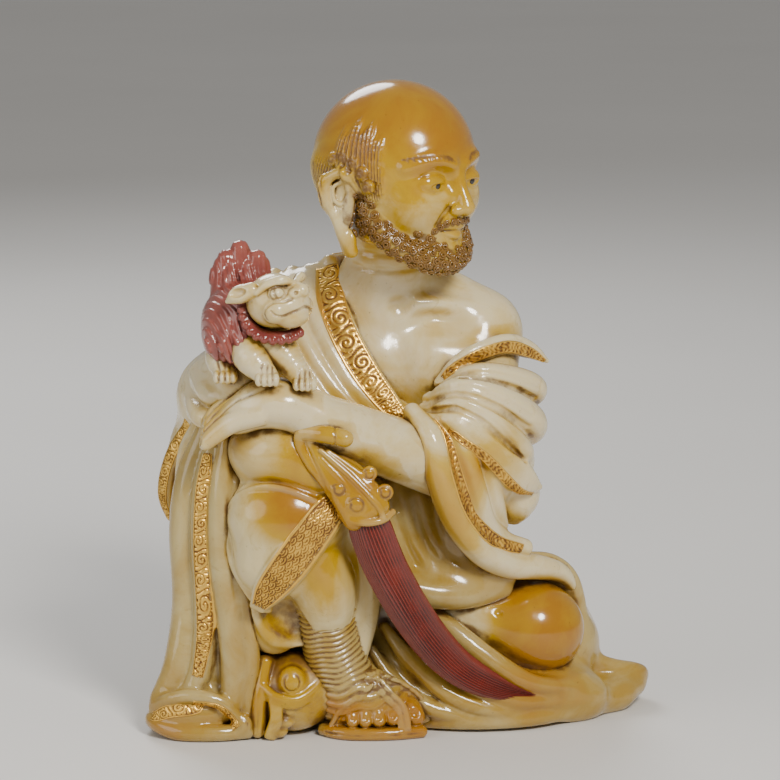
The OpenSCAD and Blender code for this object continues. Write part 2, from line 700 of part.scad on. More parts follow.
module lion_coat() color(rose) difference() {
    union() {
        difference() {
            lion_coat_form();
            shoulder_cloth();
        }
        lion_tenon();
    }
    lion_head_form();
    lion_legs_form();
    left_forearm_form();
}

module lion_head_form() {
    hull() {
        lump(lion_head_at, lion_head_r * [1, 1, 0.95], 10);
        lump(lion_head_at + [2.4, -2.6, -1], [3.2, 2.8, 2.8]);
    }
    // Nose, eyes, ears and lips
    hull() lump(lion_head_at + [2.8, -3.2, 0.9], [1.8, 1.6, 1.1], 6);
    for (p = [[-1.6, -3.8, 1.6], [3.8, 0, 1.9]]) hull() lump(lion_head_at + p, [1.3, 1.3, 1.1], 6);
    limb(from(lion_head_at, [[-3.6, -0.5, 2.4], [-5.2, 0, 2.8]]), [1.5, 1.2], 6);
    limb(from(lion_head_at, [[1.5, 3.4, 3], [2.6, 5, 3.4]]), [1.4, 1], 6);
    limb(from(lion_head_at, [[0, -4, -2.4], [3, -4.8, -2], [5, -2.6, -2]]), [1, 1.2, 1], 6);
}

module lion_head() color(cream) lion_head_form();

module lion_legs_form() {
    limb(from(lion, [[0.4, -5, -4.8], [1.4, -7, -6.4], [4, -9, -8.6]]), [2.6, 2.5, 2], 6);
    limb(from(lion, [[6.2, -4.2, -4], [7.4, -5.7, -6.4], [9.8, -7.4, -9.6]]), [2.6, 2.4, 1.9], 6);
    limb(from(lion, [[-2.9, 1, -5], [-3.5, -1.7, -7], [-2.8, -4, -9]]), [3, 2.6, 2], 6);
}

module lion_legs() color(cream) difference() {
    lion_legs_form();
    lion_head_form();
    left_forearm_form();
    shoulder_cloth();
    lion_tenon(glue_gap);
}

head();
pupils();
torso();
left_forearm();
left_sleeve();
shoulder_robe();
raised_leg();
right_foot();
left_foot();
left_knee();
lower_robe();
whisk_head();
whisk_hair();
lion_coat();
lion_head();
lion_legs();
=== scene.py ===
import math

import bpy
import numpy as np
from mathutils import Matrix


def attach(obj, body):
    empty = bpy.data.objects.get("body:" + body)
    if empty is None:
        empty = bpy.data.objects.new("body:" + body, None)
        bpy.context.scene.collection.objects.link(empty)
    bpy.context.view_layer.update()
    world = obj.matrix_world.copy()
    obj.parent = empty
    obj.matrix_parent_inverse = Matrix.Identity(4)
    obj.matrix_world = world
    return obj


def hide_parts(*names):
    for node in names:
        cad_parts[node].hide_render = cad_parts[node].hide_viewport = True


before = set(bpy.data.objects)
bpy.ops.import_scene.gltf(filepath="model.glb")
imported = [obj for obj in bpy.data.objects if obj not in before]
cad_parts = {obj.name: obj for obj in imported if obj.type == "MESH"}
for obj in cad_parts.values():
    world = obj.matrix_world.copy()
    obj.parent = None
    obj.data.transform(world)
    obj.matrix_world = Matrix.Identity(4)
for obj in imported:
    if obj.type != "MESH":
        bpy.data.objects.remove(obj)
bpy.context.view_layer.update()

import openvdb
from mathutils import Euler, Vector

# A carved soapstone monk with a lion cub and a fly whisk. Lengths are in millimetres until a mesh is made.
MM = 0.001
FAR = 30.0
REACH = 2.4
ROUGH = 1.0
DOWN = np.array([0.0, 0.0, -1.0])
bpy.ops.object.select_all(action="DESELECT")


# Curves and soft joins

def spaced(rows, step):
    """Stations on a smooth curve through the rows (x, y, z and any further values), about a step apart."""
    rows = np.asarray(rows, float)
    pad = np.vstack([2 * rows[0] - rows[1], rows, 2 * rows[-1] - rows[-2]])
    out = []
    for a, b, c, d in zip(pad, pad[1:], pad[2:], pad[3:]):
        n = max(2, math.ceil(np.linalg.norm(c[:3] - b[:3]) / step))
        t = (np.arange(n) / n)[:, None]
        out.append(0.5 * (2 * b + (c - a) * t + (2 * a - 5 * b + 4 * c - d) * t ** 2
                          + (3 * b - a - 3 * c + d) * t ** 3))
    return np.vstack(out + [rows[-1:]])


def column(values, n):
    return np.full(n, float(values)) if np.isscalar(values) else np.asarray(values, float)


def soft_min(a, b, soft):
    if soft <= 0:
        return np.minimum(a, b)
    h = np.maximum(soft - np.abs(a - b), 0) / soft
    return np.minimum(a, b) - h * h * soft / 4


def ease(x):
    x = np.clip(x, 0, 1)
    return x * x * (3 - 2 * x)


def unit(v):
    v = np.asarray(v, float)
    return v / np.maximum(np.linalg.norm(v, axis=-1, keepdims=True), 1e-9)


def turned(x=0, y=0, z=0):
    return np.array(Euler([math.radians(a) for a in (x, y, z)]).to_matrix())


def mirrored(points, s):
    """The points as they are for s = 1, and on the other side of the middle for s = -1."""
    return np.array(points) * (s, 1, 1)


class Clay:
    """A form put together from soft strokes, kept as a lattice of distances to its surface."""

    def __init__(self, cell, origin=(0, 0, 0), spin=np.eye(3)):
        self.cell = cell * ROUGH
        self.origin, self.spin = np.array(origin, float), spin
        self.strokes = []

    def world(self, points):
        return np.asarray(points, float) @ self.spin.T + self.origin

    def lump(self, at, size, soft=1.2, turn=None, cut=False):
        spin = self.spin if turn is None else self.spin @ turn
        size = np.array(size, float)
        at = self.world(at)
        room = np.abs(spin) @ size + REACH + soft

        def far(x, y, z):
            p = (x - at[0], y - at[1], z - at[2])
            q = [sum(spin[j, k] * p[j] for j in range(3)) for k in range(3)]
            k0 = np.sqrt(sum((q[k] / size[k]) ** 2 for k in range(3)))
            k1 = np.sqrt(sum((q[k] / size[k] ** 2) ** 2 for k in range(3)))
            return k0 * (k0 - 1) / np.maximum(k1, 1e-4)
        self.strokes.append((at - room, at + room, far, soft, cut))

    def roll(self, points, radii, soft=0.8, cut=False, wide=None, side=(0, 0, 1), step=1.0):
        """A rounded roll through the points. With wide it is a flat band, that wide to each side."""
        n = len(points)
        side = np.broadcast_to(np.asarray(side, float) @ self.spin.T, (n, 3))
        half = column(radii, n) if wide is None else column(wide, n)
        path = spaced(np.column_stack([self.world(points), column(radii, n), half, side]), step)
        path[:, 3:5] = np.maximum(path[:, 3:5], 0.05)
        room = path[:, 3:5].max() + REACH + soft
        reach = REACH + soft

        def far(x, y, z):
            out = np.full((x.size, y.size, z.size), FAR, np.float32)
            axes = (x.ravel(), y.ravel(), z.ravel())
            for a, b in zip(path[:-1], path[1:]):
                grow = max(a[4], b[4], a[3], b[3]) + reach
                low, high = np.minimum(a[:3], b[:3]) - grow, np.maximum(a[:3], b[:3]) + grow
                cut_to = tuple(slice(*np.searchsorted(axes[k], (low[k], high[k]))) for k in range(3))
                if any(s.start >= s.stop for s in cut_to):
                    continue
                way = b[:3] - a[:3]
                p = (axes[0][cut_to[0]][:, None, None] - a[0], axes[1][cut_to[1]][None, :, None] - a[1],
                     axes[2][cut_to[2]][None, None, :] - a[2])
                t = np.clip((p[0] * way[0] + p[1] * way[1] + p[2] * way[2]) / max(way @ way, 1e-9), 0, 1)
                q = [p[k] - t * way[k] for k in range(3)]
                square = q[0] ** 2 + q[1] ** 2 + q[2] ** 2
                r = a[3] + t * (b[3] - a[3])
                if wide is not None:
                    across = unit(a[5:8] - way * (a[5:8] @ way) / max(way @ way, 1e-9))
                    u = q[0] * across[0] + q[1] * across[1] + q[2] * across[2]
                    over = np.maximum(np.abs(u) - (a[4] + t * (b[4] - a[4])) + r, 0)
                    square = np.maximum(square - u ** 2, 0) + over ** 2
                out[cut_to] = np.minimum(out[cut_to], np.sqrt(square) - r)
            return out
        self.strokes.append((path[:, :3].min(0) - room, path[:, :3].max(0) + room, far, soft, cut))

    def groove(self, points, r=0.25, soft=0.35):
        """A cut line, which holds dirt."""
        self.roll(points, r, soft, cut="line", step=0.6)

    def fan(self, count, rows, radii, soft=0.8, bow=(0, 0, 0)):
        """Rolls side by side, from the first point of each row to the last. The middle stands out by bow."""
        rows = np.asarray(rows, float)
        for t in np.linspace(0, 1, count):
            self.roll(rows[:, 0] * (1 - t) + rows[:, 1] * t + 4 * t * (1 - t) * np.array(bow), radii, soft)

    def relief(self, low, high, change):
        """Changes the distances in a box: change is given x, y, z and the distances so far."""
        corners = self.world([[x, y, z] for x in (low[0], high[0]) for y in (low[1], high[1])
                              for z in (low[2], high[2])])
        self.strokes.append((corners.min(0), corners.max(0), change, None, True))

    def window(self, low, high):
        n = np.array(self.d.shape)
        a = np.clip(np.floor((low - self.low) / self.cell).astype(int), 0, n)
        b = np.clip(np.ceil((high - self.low) / self.cell).astype(int) + 1, 0, n)
        return tuple(map(slice, a, b))

    def axes(self, window):
        line = [(self.low[k] + self.cell * np.arange(window[k].start, window[k].stop)).astype(np.float32)
                for k in range(3)]
        return line[0][:, None, None], line[1][None, :, None], line[2][None, None, :]

    def fire(self):
        solid = [s for s in self.strokes if not s[4]]
        self.low = np.min([s[0] for s in solid], axis=0)
        self.high = np.max([s[1] for s in solid], axis=0)
        self.d = np.full(np.ceil((self.high - self.low) / self.cell).astype(int) + 1, FAR, np.float32)
        self.dirt_and_shade = np.zeros_like(self.d)
        for low, high, far, soft, cut in self.strokes:
            window = self.window(low, high)
            old = self.d[window]
            if old.size == 0:
                continue
            if soft is None:
                self.d[window] = far(*self.axes(window), old)
                continue
            gap = far(*self.axes(window))
            self.d[window] = -soft_min(-old, gap, soft) if cut else soft_min(old, gap, soft)
            # A cut line's groove is darkened: dirt, and painted shade
            if cut == "line":
                self.dirt_and_shade[window] = np.maximum(self.dirt_and_shade[window], np.clip(1 - gap / 0.22, 0, 1))
        return self

    def local(self, x, y, z):
        """The lattice's coordinates in the form's own frame."""
        p = (x - self.origin[0], y - self.origin[1], z - self.origin[2])
        return [sum(self.spin[j, k] * p[j] for j in range(3)) for k in range(3)]

    def seat_on(self, others, lap=0.2):
        """Takes the neighbours' forms out of this one, leaving a thin lap."""
        for other in others:
            low, high = np.maximum(self.low, other.low), np.minimum(self.high, other.high)
            if np.any(high - low < 2 * self.cell):
                continue
            window = self.window(low + self.cell, high - 2 * self.cell)
            if self.d[window].size == 0:
                continue
            field = other.d
            for k in range(3):
                steps = np.arange(window[k].start, window[k].stop)
                g = (self.low[k] + self.cell * steps - other.low[k]) / other.cell
                i = np.clip(np.floor(g).astype(int), 0, other.d.shape[k] - 2)
                f = np.clip(g - i, 0, 1).astype(np.float32).reshape([-1 if j == k else 1 for j in range(3)])
                field = np.take(field, i, axis=k) * (1 - f) + np.take(field, i + 1, axis=k) * f
            self.d[window] = np.maximum(self.d[window], -(field + lap))

    def at(self, points, field=None):
        """Distance from each point to the surface, or the value there of another field on the lattice."""
        field = self.d if field is None else field
        g = (points - self.low) / self.cell
        i = np.clip(np.floor(g).astype(int), 0, np.array(self.d.shape) - 2)
        f = np.clip(g - i, 0, 1)
        out = 0
        for dx in (0, 1):
            for dy in (0, 1):
                for dz in (0, 1):
                    w = np.abs(1 - dx - f[:, 0]) * np.abs(1 - dy - f[:, 1]) * np.abs(1 - dz - f[:, 2])
                    out = out + w * field[i[:, 0] + dx, i[:, 1] + dy, i[:, 2] + dz]
        outside = np.any((g < 0) | (g > np.array(self.d.shape) - 1), axis=1)
        return np.where(outside, FAR, out)

    def way_out(self, points):
        h = self.cell
        return unit(np.column_stack([self.at(points + h * e) - self.at(points - h * e) for e in np.eye(3)]))

    def pressed(self, points, rounds=4):
        """The points moved on to the surface, and the way out of the stone there."""
        points = np.asarray(points, float)
        for _ in range(rounds):
            points = points - np.clip(self.at(points), -1.5, 1.5)[:, None] * self.way_out(points)
        return points, self.way_out(points)

    def engrave(self, lines, r=0.2, soft=0.3):
        """Cuts lines into the surface as it stands, wherever their points lie near it."""
        self.fire()
        for line in lines:
            on, _ = self.pressed(self.world(spaced(line, 1.2)), 6)
            self.groove((on - self.origin) @ self.spin, r, soft)

    def skin(self):
        d = self.d.copy()
        for k in range(3):
            for end in (0, -1):
                side = [slice(None)] * 3
                side[k] = end
                d[tuple(side)] = np.maximum(d[tuple(side)], self.cell)
        band = 3 * self.cell
        grid = openvdb.FloatGrid(band)
        grid.copyFromArray(np.clip(d, -band, band).astype(np.float32))
        points, quads = grid.convertToQuads(isovalue=0.0)
        return points * self.cell + self.low, quads


# Head: modelled facing -Y about the middle of the skull, then turned

SKULL = np.array([-0.5, -2.5, 95.0])
HEAD_WAY = turned(z=50) @ turned(x=3)


def combed_hair(x, y, z):
    """Locks combed down over the temples and round the nape: how far the patch stands up, and its strands."""
    side = np.abs(x)
    crest = 1.1 * np.cos(2.4 * y + 0.15 * z)
    temple = 1 - np.sqrt(((side - 10.5) / 6) ** 2 + ((y + 1.4) / 5.2) ** 2 + ((z - 1.6) / (5.6 + crest)) ** 2)
    burn = 1 - np.sqrt(((side - 10.5) / 5) ** 2 + ((y + 4.3) / 2.3) ** 2 + ((z + 2.4) / 4.4) ** 2)
    nape = np.minimum(np.minimum((y - 2.6) / 2, (z + 10.5) / 2),
                      (0.7 * np.cos(7 * np.arctan2(x, y)) + 1.6 - z) / 4)
    front, back = ease(np.maximum(temple, burn) * 4), ease(nape)
    line = np.where(front > back, np.cos(2 * np.pi * (y + 0.12 * (z - 8) * np.sin(0.5 * y)) / 0.66),
                    np.cos(2 * np.pi * (np.degrees(np.arctan2(x, y + 1)) + 1.5 * np.sin(0.7 * z)) / 3.1))
    patch = np.maximum(front, back)
    return 0.45 * patch, 0.2 * line * patch


def beard_edges(turn):
    """Height of the beard's lower and upper edge, by the turn from the chin in degrees."""
    a = np.abs(turn) / 90
    return -18.8 + 7.8 * a ** 1.6, -13.2 + 9.6 * a ** 2.2 + 2 * np.exp(-((a - 0.3) / 0.12) ** 2)


def model_head():
    c = Clay(0.218, SKULL, HEAD_WAY)
    c.lump((0, 0, 0), (12, 13.4, 12.8), 0)
    c.lump((0, 2.5, -0.5), (11.7, 11.8, 11.6), 2)
    c.lump((0, -5, -6), (9.4, 8.5, 9), 2.5)
    c.lump((0, -8.6, -13.2), (4.8, 4.2, 3.4), 2.5)
    for s in (-1, 1):
        c.lump((s * 5.4, -8.4, -5.8), (3.5, 3.4, 3.3), 2.5)
        c.lump((s * 7.6, -1.8, -10), (2.6, 4, 3.4), 2.5)
        c.roll([(s * 8.6, -8.9, 0.2), (s * 5, -12, 1.6), (s * 1.7, -13, 0.7)], (0.6, 0.9, 0.8), 1.6)
    # Eyes half closed: lids over the ball, opened by an almond slit
    for s in (-1, 1):
        c.lump((s * 4.5, -13.6, -2), (3, 2.1, 1.9), 1.5, cut=True)
        c.lump((s * 4.5, -11, -2.3), (2.8, 1.9, 1.9), 0.5)
        c.lump((s * 4.5, -13.2, -2.75), (2.05, 1.2, 0.55), 0.15, cut=True)
        c.lump((s * 4.5, -11, -2.4), (2.4, 1.55, 1.5), 0.05)
        c.groove(mirrored([(7, -10.9, -1.1), (5.8, -12.2, -0.5), (4.4, -12.7, -0.35), (2.8, -12.5, -0.9)], s),
                 0.14, 0.5)
        c.groove(mirrored([(6.6, -11.2, -4.2), (5, -12, -4.6), (3, -12.2, -4.3)], s), 0.12, 0.7)
    # Nose and mouth
    c.roll([(0, -12.8, -0.4), (0, -13.9, -3.4), (0, -15, -6.2)], (0.85, 1, 1.45), 1.2)
    c.lump((0, -12.4, -8.6), (2.8, 1.5, 1.6), 1.6)
    for s in (-1, 1):
        c.lump((s * 1.5, -13.9, -6.7), (1.1, 1.3, 1), 0.6)
        c.lump((s * 0.8, -14.4, -7.75), (0.4, 0.5, 0.4), 0.3, cut=True)
        c.groove([(s * 2.4, -13.2, -6.4), (s * 3.3, -12.5, -7.8), (s * 3.7, -11.9, -9.2)], 0.16, 1)
    c.roll([(-2.7, -11.9, -10), (-1, -13.1, -9.6), (0, -13.1, -9.8), (1, -13.1, -9.6), (2.7, -11.9, -10)],
           (0.2, 0.55, 0.5, 0.55, 0.2), 0.35, step=0.6)
    c.roll([(-2.2, -12, -10.6), (0, -13, -11.1), (2.2, -12, -10.6)], (0.25, 0.7, 0.25), 0.4, step=0.6)
    c.groove([(-2.9, -11.9, -10.1), (-1, -13.5, -10.25), (0, -13.6, -10.4), (1, -13.5, -10.25),
              (2.9, -11.9, -10.1)], 0.17)
    # Beard mass along the jaw, which the curls are set on
    c.roll([(-10, -2.2, -7), (-8.8, -5.6, -11.6), (-4.8, -9.6, -14.4), (0, -11, -15.2), (4.8, -9.6, -14.4),
            (8.8, -5.6, -11.6), (10, -2.2, -7)], (0.9, 1.7, 2.3, 2.5, 2.3, 1.7, 0.9), 1.2)
    for s in (-1, 1):
        ear = [(11.4, -1.6, -4.4), (12.3, -0.6, -2.3), (13.1, 1.4, -1.6), (13.6, 3.3, -3.2), (13.3, 3.2, -6.4),
               (12.5, 1.8, -9.4), (11.7, 0.6, -12.4), (11.1, -0.4, -14.4)]
        c.lump((s * 11.9, 1.2, -6.4), (1, 2.4, 4.8), 0.8)
        c.lump((s * 11.4, 0.1, -13), (1.1, 1.5, 2.3), 0.6)
        c.lump((s * 13.4, 0.8, -5.2), (1.1, 1.4, 2.4), 0.4, cut=True)
        c.roll(mirrored(ear, s), (0.4, 0.7, 0.85, 0.85, 0.85, 0.95, 1.2, 1.1), 0.35, step=0.6)
        c.roll(mirrored([(12.7, 1, -2.9), (13.3, 2.2, -4), (13.1, 1.9, -6.2), (12.6, 0.7, -6.6),
                         (12.4, 0.1, -5.4)], s), 0.34, 0.3, step=0.6)

    c.relief((-14, -10, -11), (14, 14, 9), lambda x, y, z, d: d - sum(combed_hair(*c.local(x, y, z))))
    # Curls where the hair meets the ear, and the fine hairs of the brows
    curls, hairs = [], []
    for s in (-1, 1):
        for y, z in ((3.2, 0.4), (1.2, 0.9), (-0.9, 0.2), (-2.8, -1.2), (-4.2, -3.2)):
            c.lump((s * 12.1, y, z), (1, 1.25, 1.25), 0.25)
            curls.append([(s * 13, y + 0.22 * a * math.cos(2.2 * a), z + 0.22 * a * math.sin(2.2 * a))
                          for a in np.linspace(0.8, 4.4, 14)])
        for t in np.linspace(0, 1, 11):
            root = np.array((1.9 + 6.4 * t, -13.4 + 4 * t * t, 1.1 + 2.4 * t - 2.6 * t * t))
            hairs.append(mirrored([root, root + (0.55, 0.1, 0.65), root + (1.3, 0.5, 0.85)], s))
    c.engrave(curls, 0.2, 0.1)
    c.engrave(hairs, 0.14, 0.12)
    return c.fire()


def model_torso():
    c = Clay(0.3)
    c.lump((-1.5, 4, 60), (14.5, 9.5, 11), 0)
    c.lump((-0.5, 4, 47), (12.5, 10, 9), 3)
    c.roll([(-2, 5, 71), (6, 5.5, 69.2), (12.8, 5, 64.6)], (6.8, 6.6, 7.4), 3)
    c.roll([(-3, 4.2, 71), (-11, 4.6, 69), (-18, 4.6, 66)], (6.2, 5.8, 5.8), 3)
    c.roll([(12.8, 5, 64.5), (13.4, -2, 54)], (7.2, 6.2), 2)
    c.roll([(-2.6, 4.5, 68), (-1.8, 1.6, 80), (-1.5, 0.4, 88)], (8, 7, 6.6), 3)
    c.lump((6.2, -2.4, 60), (7, 3.6, 5.6), 3)
    c.lump((-6.5, -2.4, 60), (6.5, 3.6, 5.6), 3)
    c.roll([(-1, -3.4, 70.2), (5.5, -2, 70.8), (11.5, 0.4, 69.4)], (0.9, 1.2, 0.9), 1.8)
    c.roll([(0, -6.2, 68), (0.8, -7.6, 59), (1.4, -7, 51)], (0.5, 0.9, 0.7), 2.4, cut=True)
    c.lump((0, -4.6, 70.6), (1.8, 1.2, 1.2), 1.6, cut=True)
    c.groove([(-6, -6.6, 55.2), (0, -6.6, 54.2), (6.5, -6.4, 54.6), (11, -4, 56)], 0.2, 1.2)
    creases = [[(-2 + 7.3 * math.cos(a), 2.2 + 7.3 * math.sin(a), z + 0.8 * math.cos(a) ** 2)
                for a in np.radians(np.linspace(215, 325, 7))] for z in (76.6, 79.4)]
    c.engrave(creases, 0.12, 1)
    return c.fire()


# Left arm: thick smooth forearm, and a hand resting on the raised knee

def model_left_forearm():
    c = Clay(0.22)
    c.roll([(10.5, -8, 43), (-1.7, -15, 49), (-13, -19.8, 54.2)], (5.3, 5.1, 4.5), 0)
    c.lump((-19.4, -20.4, 57.2), (6.8, 4.9, 4.2), 2.5, turned(y=8))
    c.lump((-25, -19.6, 55.6), (5, 4.6, 3.2), 2, turned(y=-24))
    for i in range(4):
        root = np.array([-22.6, -17 - 2.15 * i, 58.2 - 0.75 * i])
        c.roll([root, root + (-4.4, 0.4, -1.4), root + (-7.4, 0.7, -3.6), root + (-8.8, 0.8, -5.6 + 0.25 * i)],
               (1.9, 1.75, 1.5, 1.2), 0.35, step=0.7)
        c.lump(root + (-9.7, 0.5, -5.2 + 0.25 * i), (0.45, 0.72, 0.95), 0.2, cut=True)
    between = [[(-19.4, -18 - 2.15 * i, 60.6 - 0.75 * i), (-25.4, -17.7 - 2.15 * i, 58.9 - 0.75 * i),
                (-29.6, -17.2 - 2.15 * i, 56 - 0.75 * i), (-31.4, -16.8 - 2.15 * i, 53.6 - 0.6 * i)]
               for i in range(3)]
    c.engrave(between, 0.2, 0.4)
    return c.fire()


# Left sleeve: slipped off the shoulder and piled on the arm

PILED = [
    ([(6.5, -7, 58.2), (12.5, -8.6, 59.8), (18, -6, 58.6), (22.2, -1, 56.2), (21.2, 3, 53.4)],
     (1, 2, 2.4, 2.3, 1.6)),
    ([(4.5, -8.6, 55.8), (10, -11.2, 58), (16, -10, 56), (21, -5, 52), (21.9, -0.5, 49.2), (19.8, 3, 46.8)],
     (1, 2.2, 2.7, 2.8, 2.4, 1.6)),
    ([(3.8, -9.8, 54.4), (9, -12.8, 55.8), (14.6, -12.2, 52.8), (19, -8, 47.8), (20.4, -3, 44.6)],
     (1, 1.9, 2.4, 2.6, 2)),
]
SLEEVE_LOBE = [(3.6, -10.6, 53.4), (8.5, -13.4, 53.8), (13.6, -13.4, 50), (17.4, -11, 45.4), (20.6, -7.6, 42),
               (23.2, -4, 40.2)]
SLEEVE_COLLAR = [(7, -6.6, 59), (9.4, -6.9, 61.2), (12.4, -6.4, 63), (17.4, -3.8, 64.2), (21.4, 0, 62.6),
                 (24.6, 3, 60.2)]
CUFF = [(2, -13.2, 54.4), (5, -15.7, 50.4), (6.6, -16.2, 44), (9.2, -14.2, 37), (13.4, -11.2, 31), (18, -7.6, 27.8),
        (23, -3.6, 26.4), (27, 0, 24.6), (29.6, 2.8, 21)]
CUFF_BAND = [(5, -13.6, 53.6), (7.4, -15, 49), (9.2, -15.2, 43.4), (11.2, -13.6, 38), (15, -11, 33),
             (20.6, -7.4, 30.4)]


def model_left_sleeve():
    c = Clay(0.28)
    c.lump((14.4, -1.6, 51.6), (8, 7.8, 9.4), 0)
    c.lump((12.4, -6.4, 43), (6.4, 6.2, 7.6), 2)
    c.lump((17.2, -3.6, 43.6), (5, 5.2, 4.6), 2)
    for points, radii in PILED:
        c.roll(points, radii, 0.6)
    c.roll(SLEEVE_LOBE, (0.8, 1.5, 1.6, 1.5, 1.2, 0.5), 0.6, wide=(1, 2.4, 3, 3.2, 2.4, 0.5),
           side=(0.55, 0.35, 0.75))
    c.roll(SLEEVE_COLLAR, (0.6, 0.9, 1, 1, 0.9, 0.4), 0.6, wide=(1, 1.6, 1.8, 1.8, 1.5, 0.4),
           side=(-0.2, -0.5, 0.9))
    # Hanging bag
    c.lump((18.2, -1, 38.6), (5.2, 5.4, 5.2), 1.5)
    c.roll([(17.4, -6.4, 42), (19.8, -3.6, 37.2), (19.2, -1.4, 34.8)], (1.4, 2, 1.6), 0.6)
    # Cuff: its outer roll, the flat that bears the band, and the pleats behind
    c.roll(CUFF, (1.6, 2.3, 2.5, 2.5, 2.5, 2.4, 2.1, 1.6, 0.8), 0.9)
    c.roll(np.array(CUFF_BAND) + (0, 1, 0), (1, 1.9, 2, 2, 1.8, 1.5), 0.5)
    c.roll([(7.4, -13.4, 54), (10.6, -14.4, 47.6), (12.4, -13.4, 41), (14, -11, 35.6), (17.4, -7.4, 31.8)],
           (0.8, 1.7, 1.9, 1.9, 1.5), 0.5)
    c.roll([(9.6, -12.6, 53), (13.6, -12, 46.4), (15, -10, 39.6), (16.2, -6.6, 34.4)], (0.8, 1.7, 2.1, 1.8), 0.5)
    c.roll([(8.5, -3, 29), (14, -3, 29.4), (21, -2, 26.4)], (2, 2.4, 2), 1)
    # Valleys between the piled folds
    for points in ([(5.6, -9, 57.4), (11, -11.8, 59.6), (17.6, -9.6, 57.8), (22.6, -3.6, 54)],
                   [(4.4, -10.8, 55.4), (9.4, -13.8, 57.4), (15.6, -13.2, 54.8), (21, -8, 49.8), (22.6, -3, 47)],
                   [(5, -12.6, 54.6), (10.6, -15, 54.8), (15.8, -14, 50.6), (20.4, -9.4, 45.6)]):
        c.groove(points, 0.3, 0.9)
    # Small creases on the folds, running out to the right
    creases = [[np.array(p) + (0, -r, lift) for p, r in zip(points[:4], radii)]
               for points, radii in PILED for lift in (-0.6, 0.9)]
    c.engrave(creases, 0.1, 0.9)
    return c.fire()


# Robe over the right shoulder

NECKLINE = np.array([-6.0, -6.5, 59.5])
NECKLINE_WAY = unit([0.58, -0.55, 0.61])
NECK_BORDER = [(-12.4, 4.6, 76), (-11.6, -1, 70.6), (-9.4, -5, 65.4), (-6, -7, 59.6), (-2.6, -8, 55.2),
               (0.8, -8.6, 51.4)]
BACK_BORDER = [(-12.4, 4.6, 76), (-7.6, 10.2, 75.2), (1, 13.2, 71), (9.5, 13.4, 64), (14.5, 9, 55)]
RIGHT_LOBE = [(-33.6, -5, 52), (-37, -2.6, 45.6), (-38.6, 0, 38.6), (-37.4, 3, 33)]


def model_shoulder_robe():
    c = Clay(0.37)
    c.lump((-2.5, 4.5, 60), (16.7, 11.7, 13.2), 0)
    c.roll([(-2.5, 4.8, 62), (-2.2, 5.8, 50), (-1.2, 7, 37)], (10.8, 11, 11.4), 3, wide=(16, 16.2, 15.2),
           side=(1, 0, 0))
    c.roll([(-9, 6.4, 70), (-18.5, 6, 66), (-26, 2.4, 56), (-28, 1, 51)], (6.4, 8.4, 8.2, 7.6), 3)
    c.lump((-20, 5, 50), (10, 8, 12), 4)

    def bared(x, y, z, d):
        over = ((x - NECKLINE[0]) * NECKLINE_WAY[0] + (y - NECKLINE[1]) * NECKLINE_WAY[1]
                + (z - NECKLINE[2]) * NECKLINE_WAY[2])
        return np.maximum(d, over)
    c.relief((-60, -60, -20), (60, 60, 140), bared)
    c.roll([(-29, -2, 55), (-26, -9, 58.6), (-24.5, -13.5, 60)], (8.2, 7, 6), 2.5)
    # Sleeve of the right arm, and its hanging end
    c.roll([(-31, 1, 51), (-34.6, 2.4, 43.6), (-35.2, 3.6, 36)], (5.8, 4.6, 3.2), 2)
    c.roll(RIGHT_LOBE, (1.4, 1.8, 1.8, 1.4), 0.7)
    c.roll([(-31, -8.6, 54), (-34.6, -6.4, 47), (-35.4, -4.4, 39), (-34.6, -2, 33.6)], (1.4, 2, 2, 1.4), 0.7)
    # Cloth gathered under the lion
    for a, b in (((-33.6, -6, 60), (-24, -17.6, 57)), ((-34.4, -5, 56.6), (-26.6, -16.8, 53)),
                 ((-30.6, -6.6, 64.4), (-21.5, -14.6, 64))):
        c.roll([a, (np.array(a) + b) / 2 + (-2, -2, -1), b], (1.2, 1.9, 1.2), 0.8)
    # Folds from the shoulder to the waist
    c.fan(4, [[(-12, 5, 75.5), (-21, 7, 74)], [(-11, -2, 69.5), (-21.5, -2.5, 68.5)],
              [(-6, -6.5, 59.5), (-15.5, -7.5, 59)], [(0.5, -8, 52), (-8.5, -9, 51.5)]],
          (1.4, 1.9, 2, 1.7), 0.5)
    c.roll(NECK_BORDER, (1.1, 1.2, 1.2, 1.2, 1.1, 0.9), 0.6, wide=(2.6, 2.9, 2.9, 2.8, 2.4, 1.6),
           side=(0.75, 0.1, 0.5))
    c.roll(BACK_BORDER, (1.1, 1.2, 1.2, 1.2, 0.9), 0.6, wide=(2.2, 2.2, 2.2, 2.2, 1.6),
           side=(0.55, -0.1, 0.7))
    # Full upper back, and folds slanting down from it to a rolled hem
    c.roll([(-9.4, 9.4, 72.2), (-3, 10.8, 70.4), (3.6, 11.4, 67)], (2.6, 2.8, 2.6), 2.5)
    c.fan(5, [[(-11, 12.6, 71), (-27, 7, 59)], [(-0.5, 16, 63), (-22, 12.6, 49)],
              [(7.5, 16, 56), (-15, 14.4, 42)], [(13, 11, 50), (-12, 16, 35)]],
          (0.8, 2, 2, 1.2), 0.7, bow=(0, 2.8, 0))
    c.roll([(-1 + 14.5 * math.cos(a), 7 + 11.4 * math.sin(a), 32.5 + 2.5 * math.cos(a))
            for a in np.radians(np.linspace(10, 170, 9))], 1.35, 0.8)
    return c.fire()


# Raised right leg in wide trousers, bare below the hem

HEM_BAND = [(-10, -21, 41.4), (-12.4, -22.6, 38.8), (-17.4, -23.6, 32), (-21, -22, 27), (-23.2, -20, 23.4)]


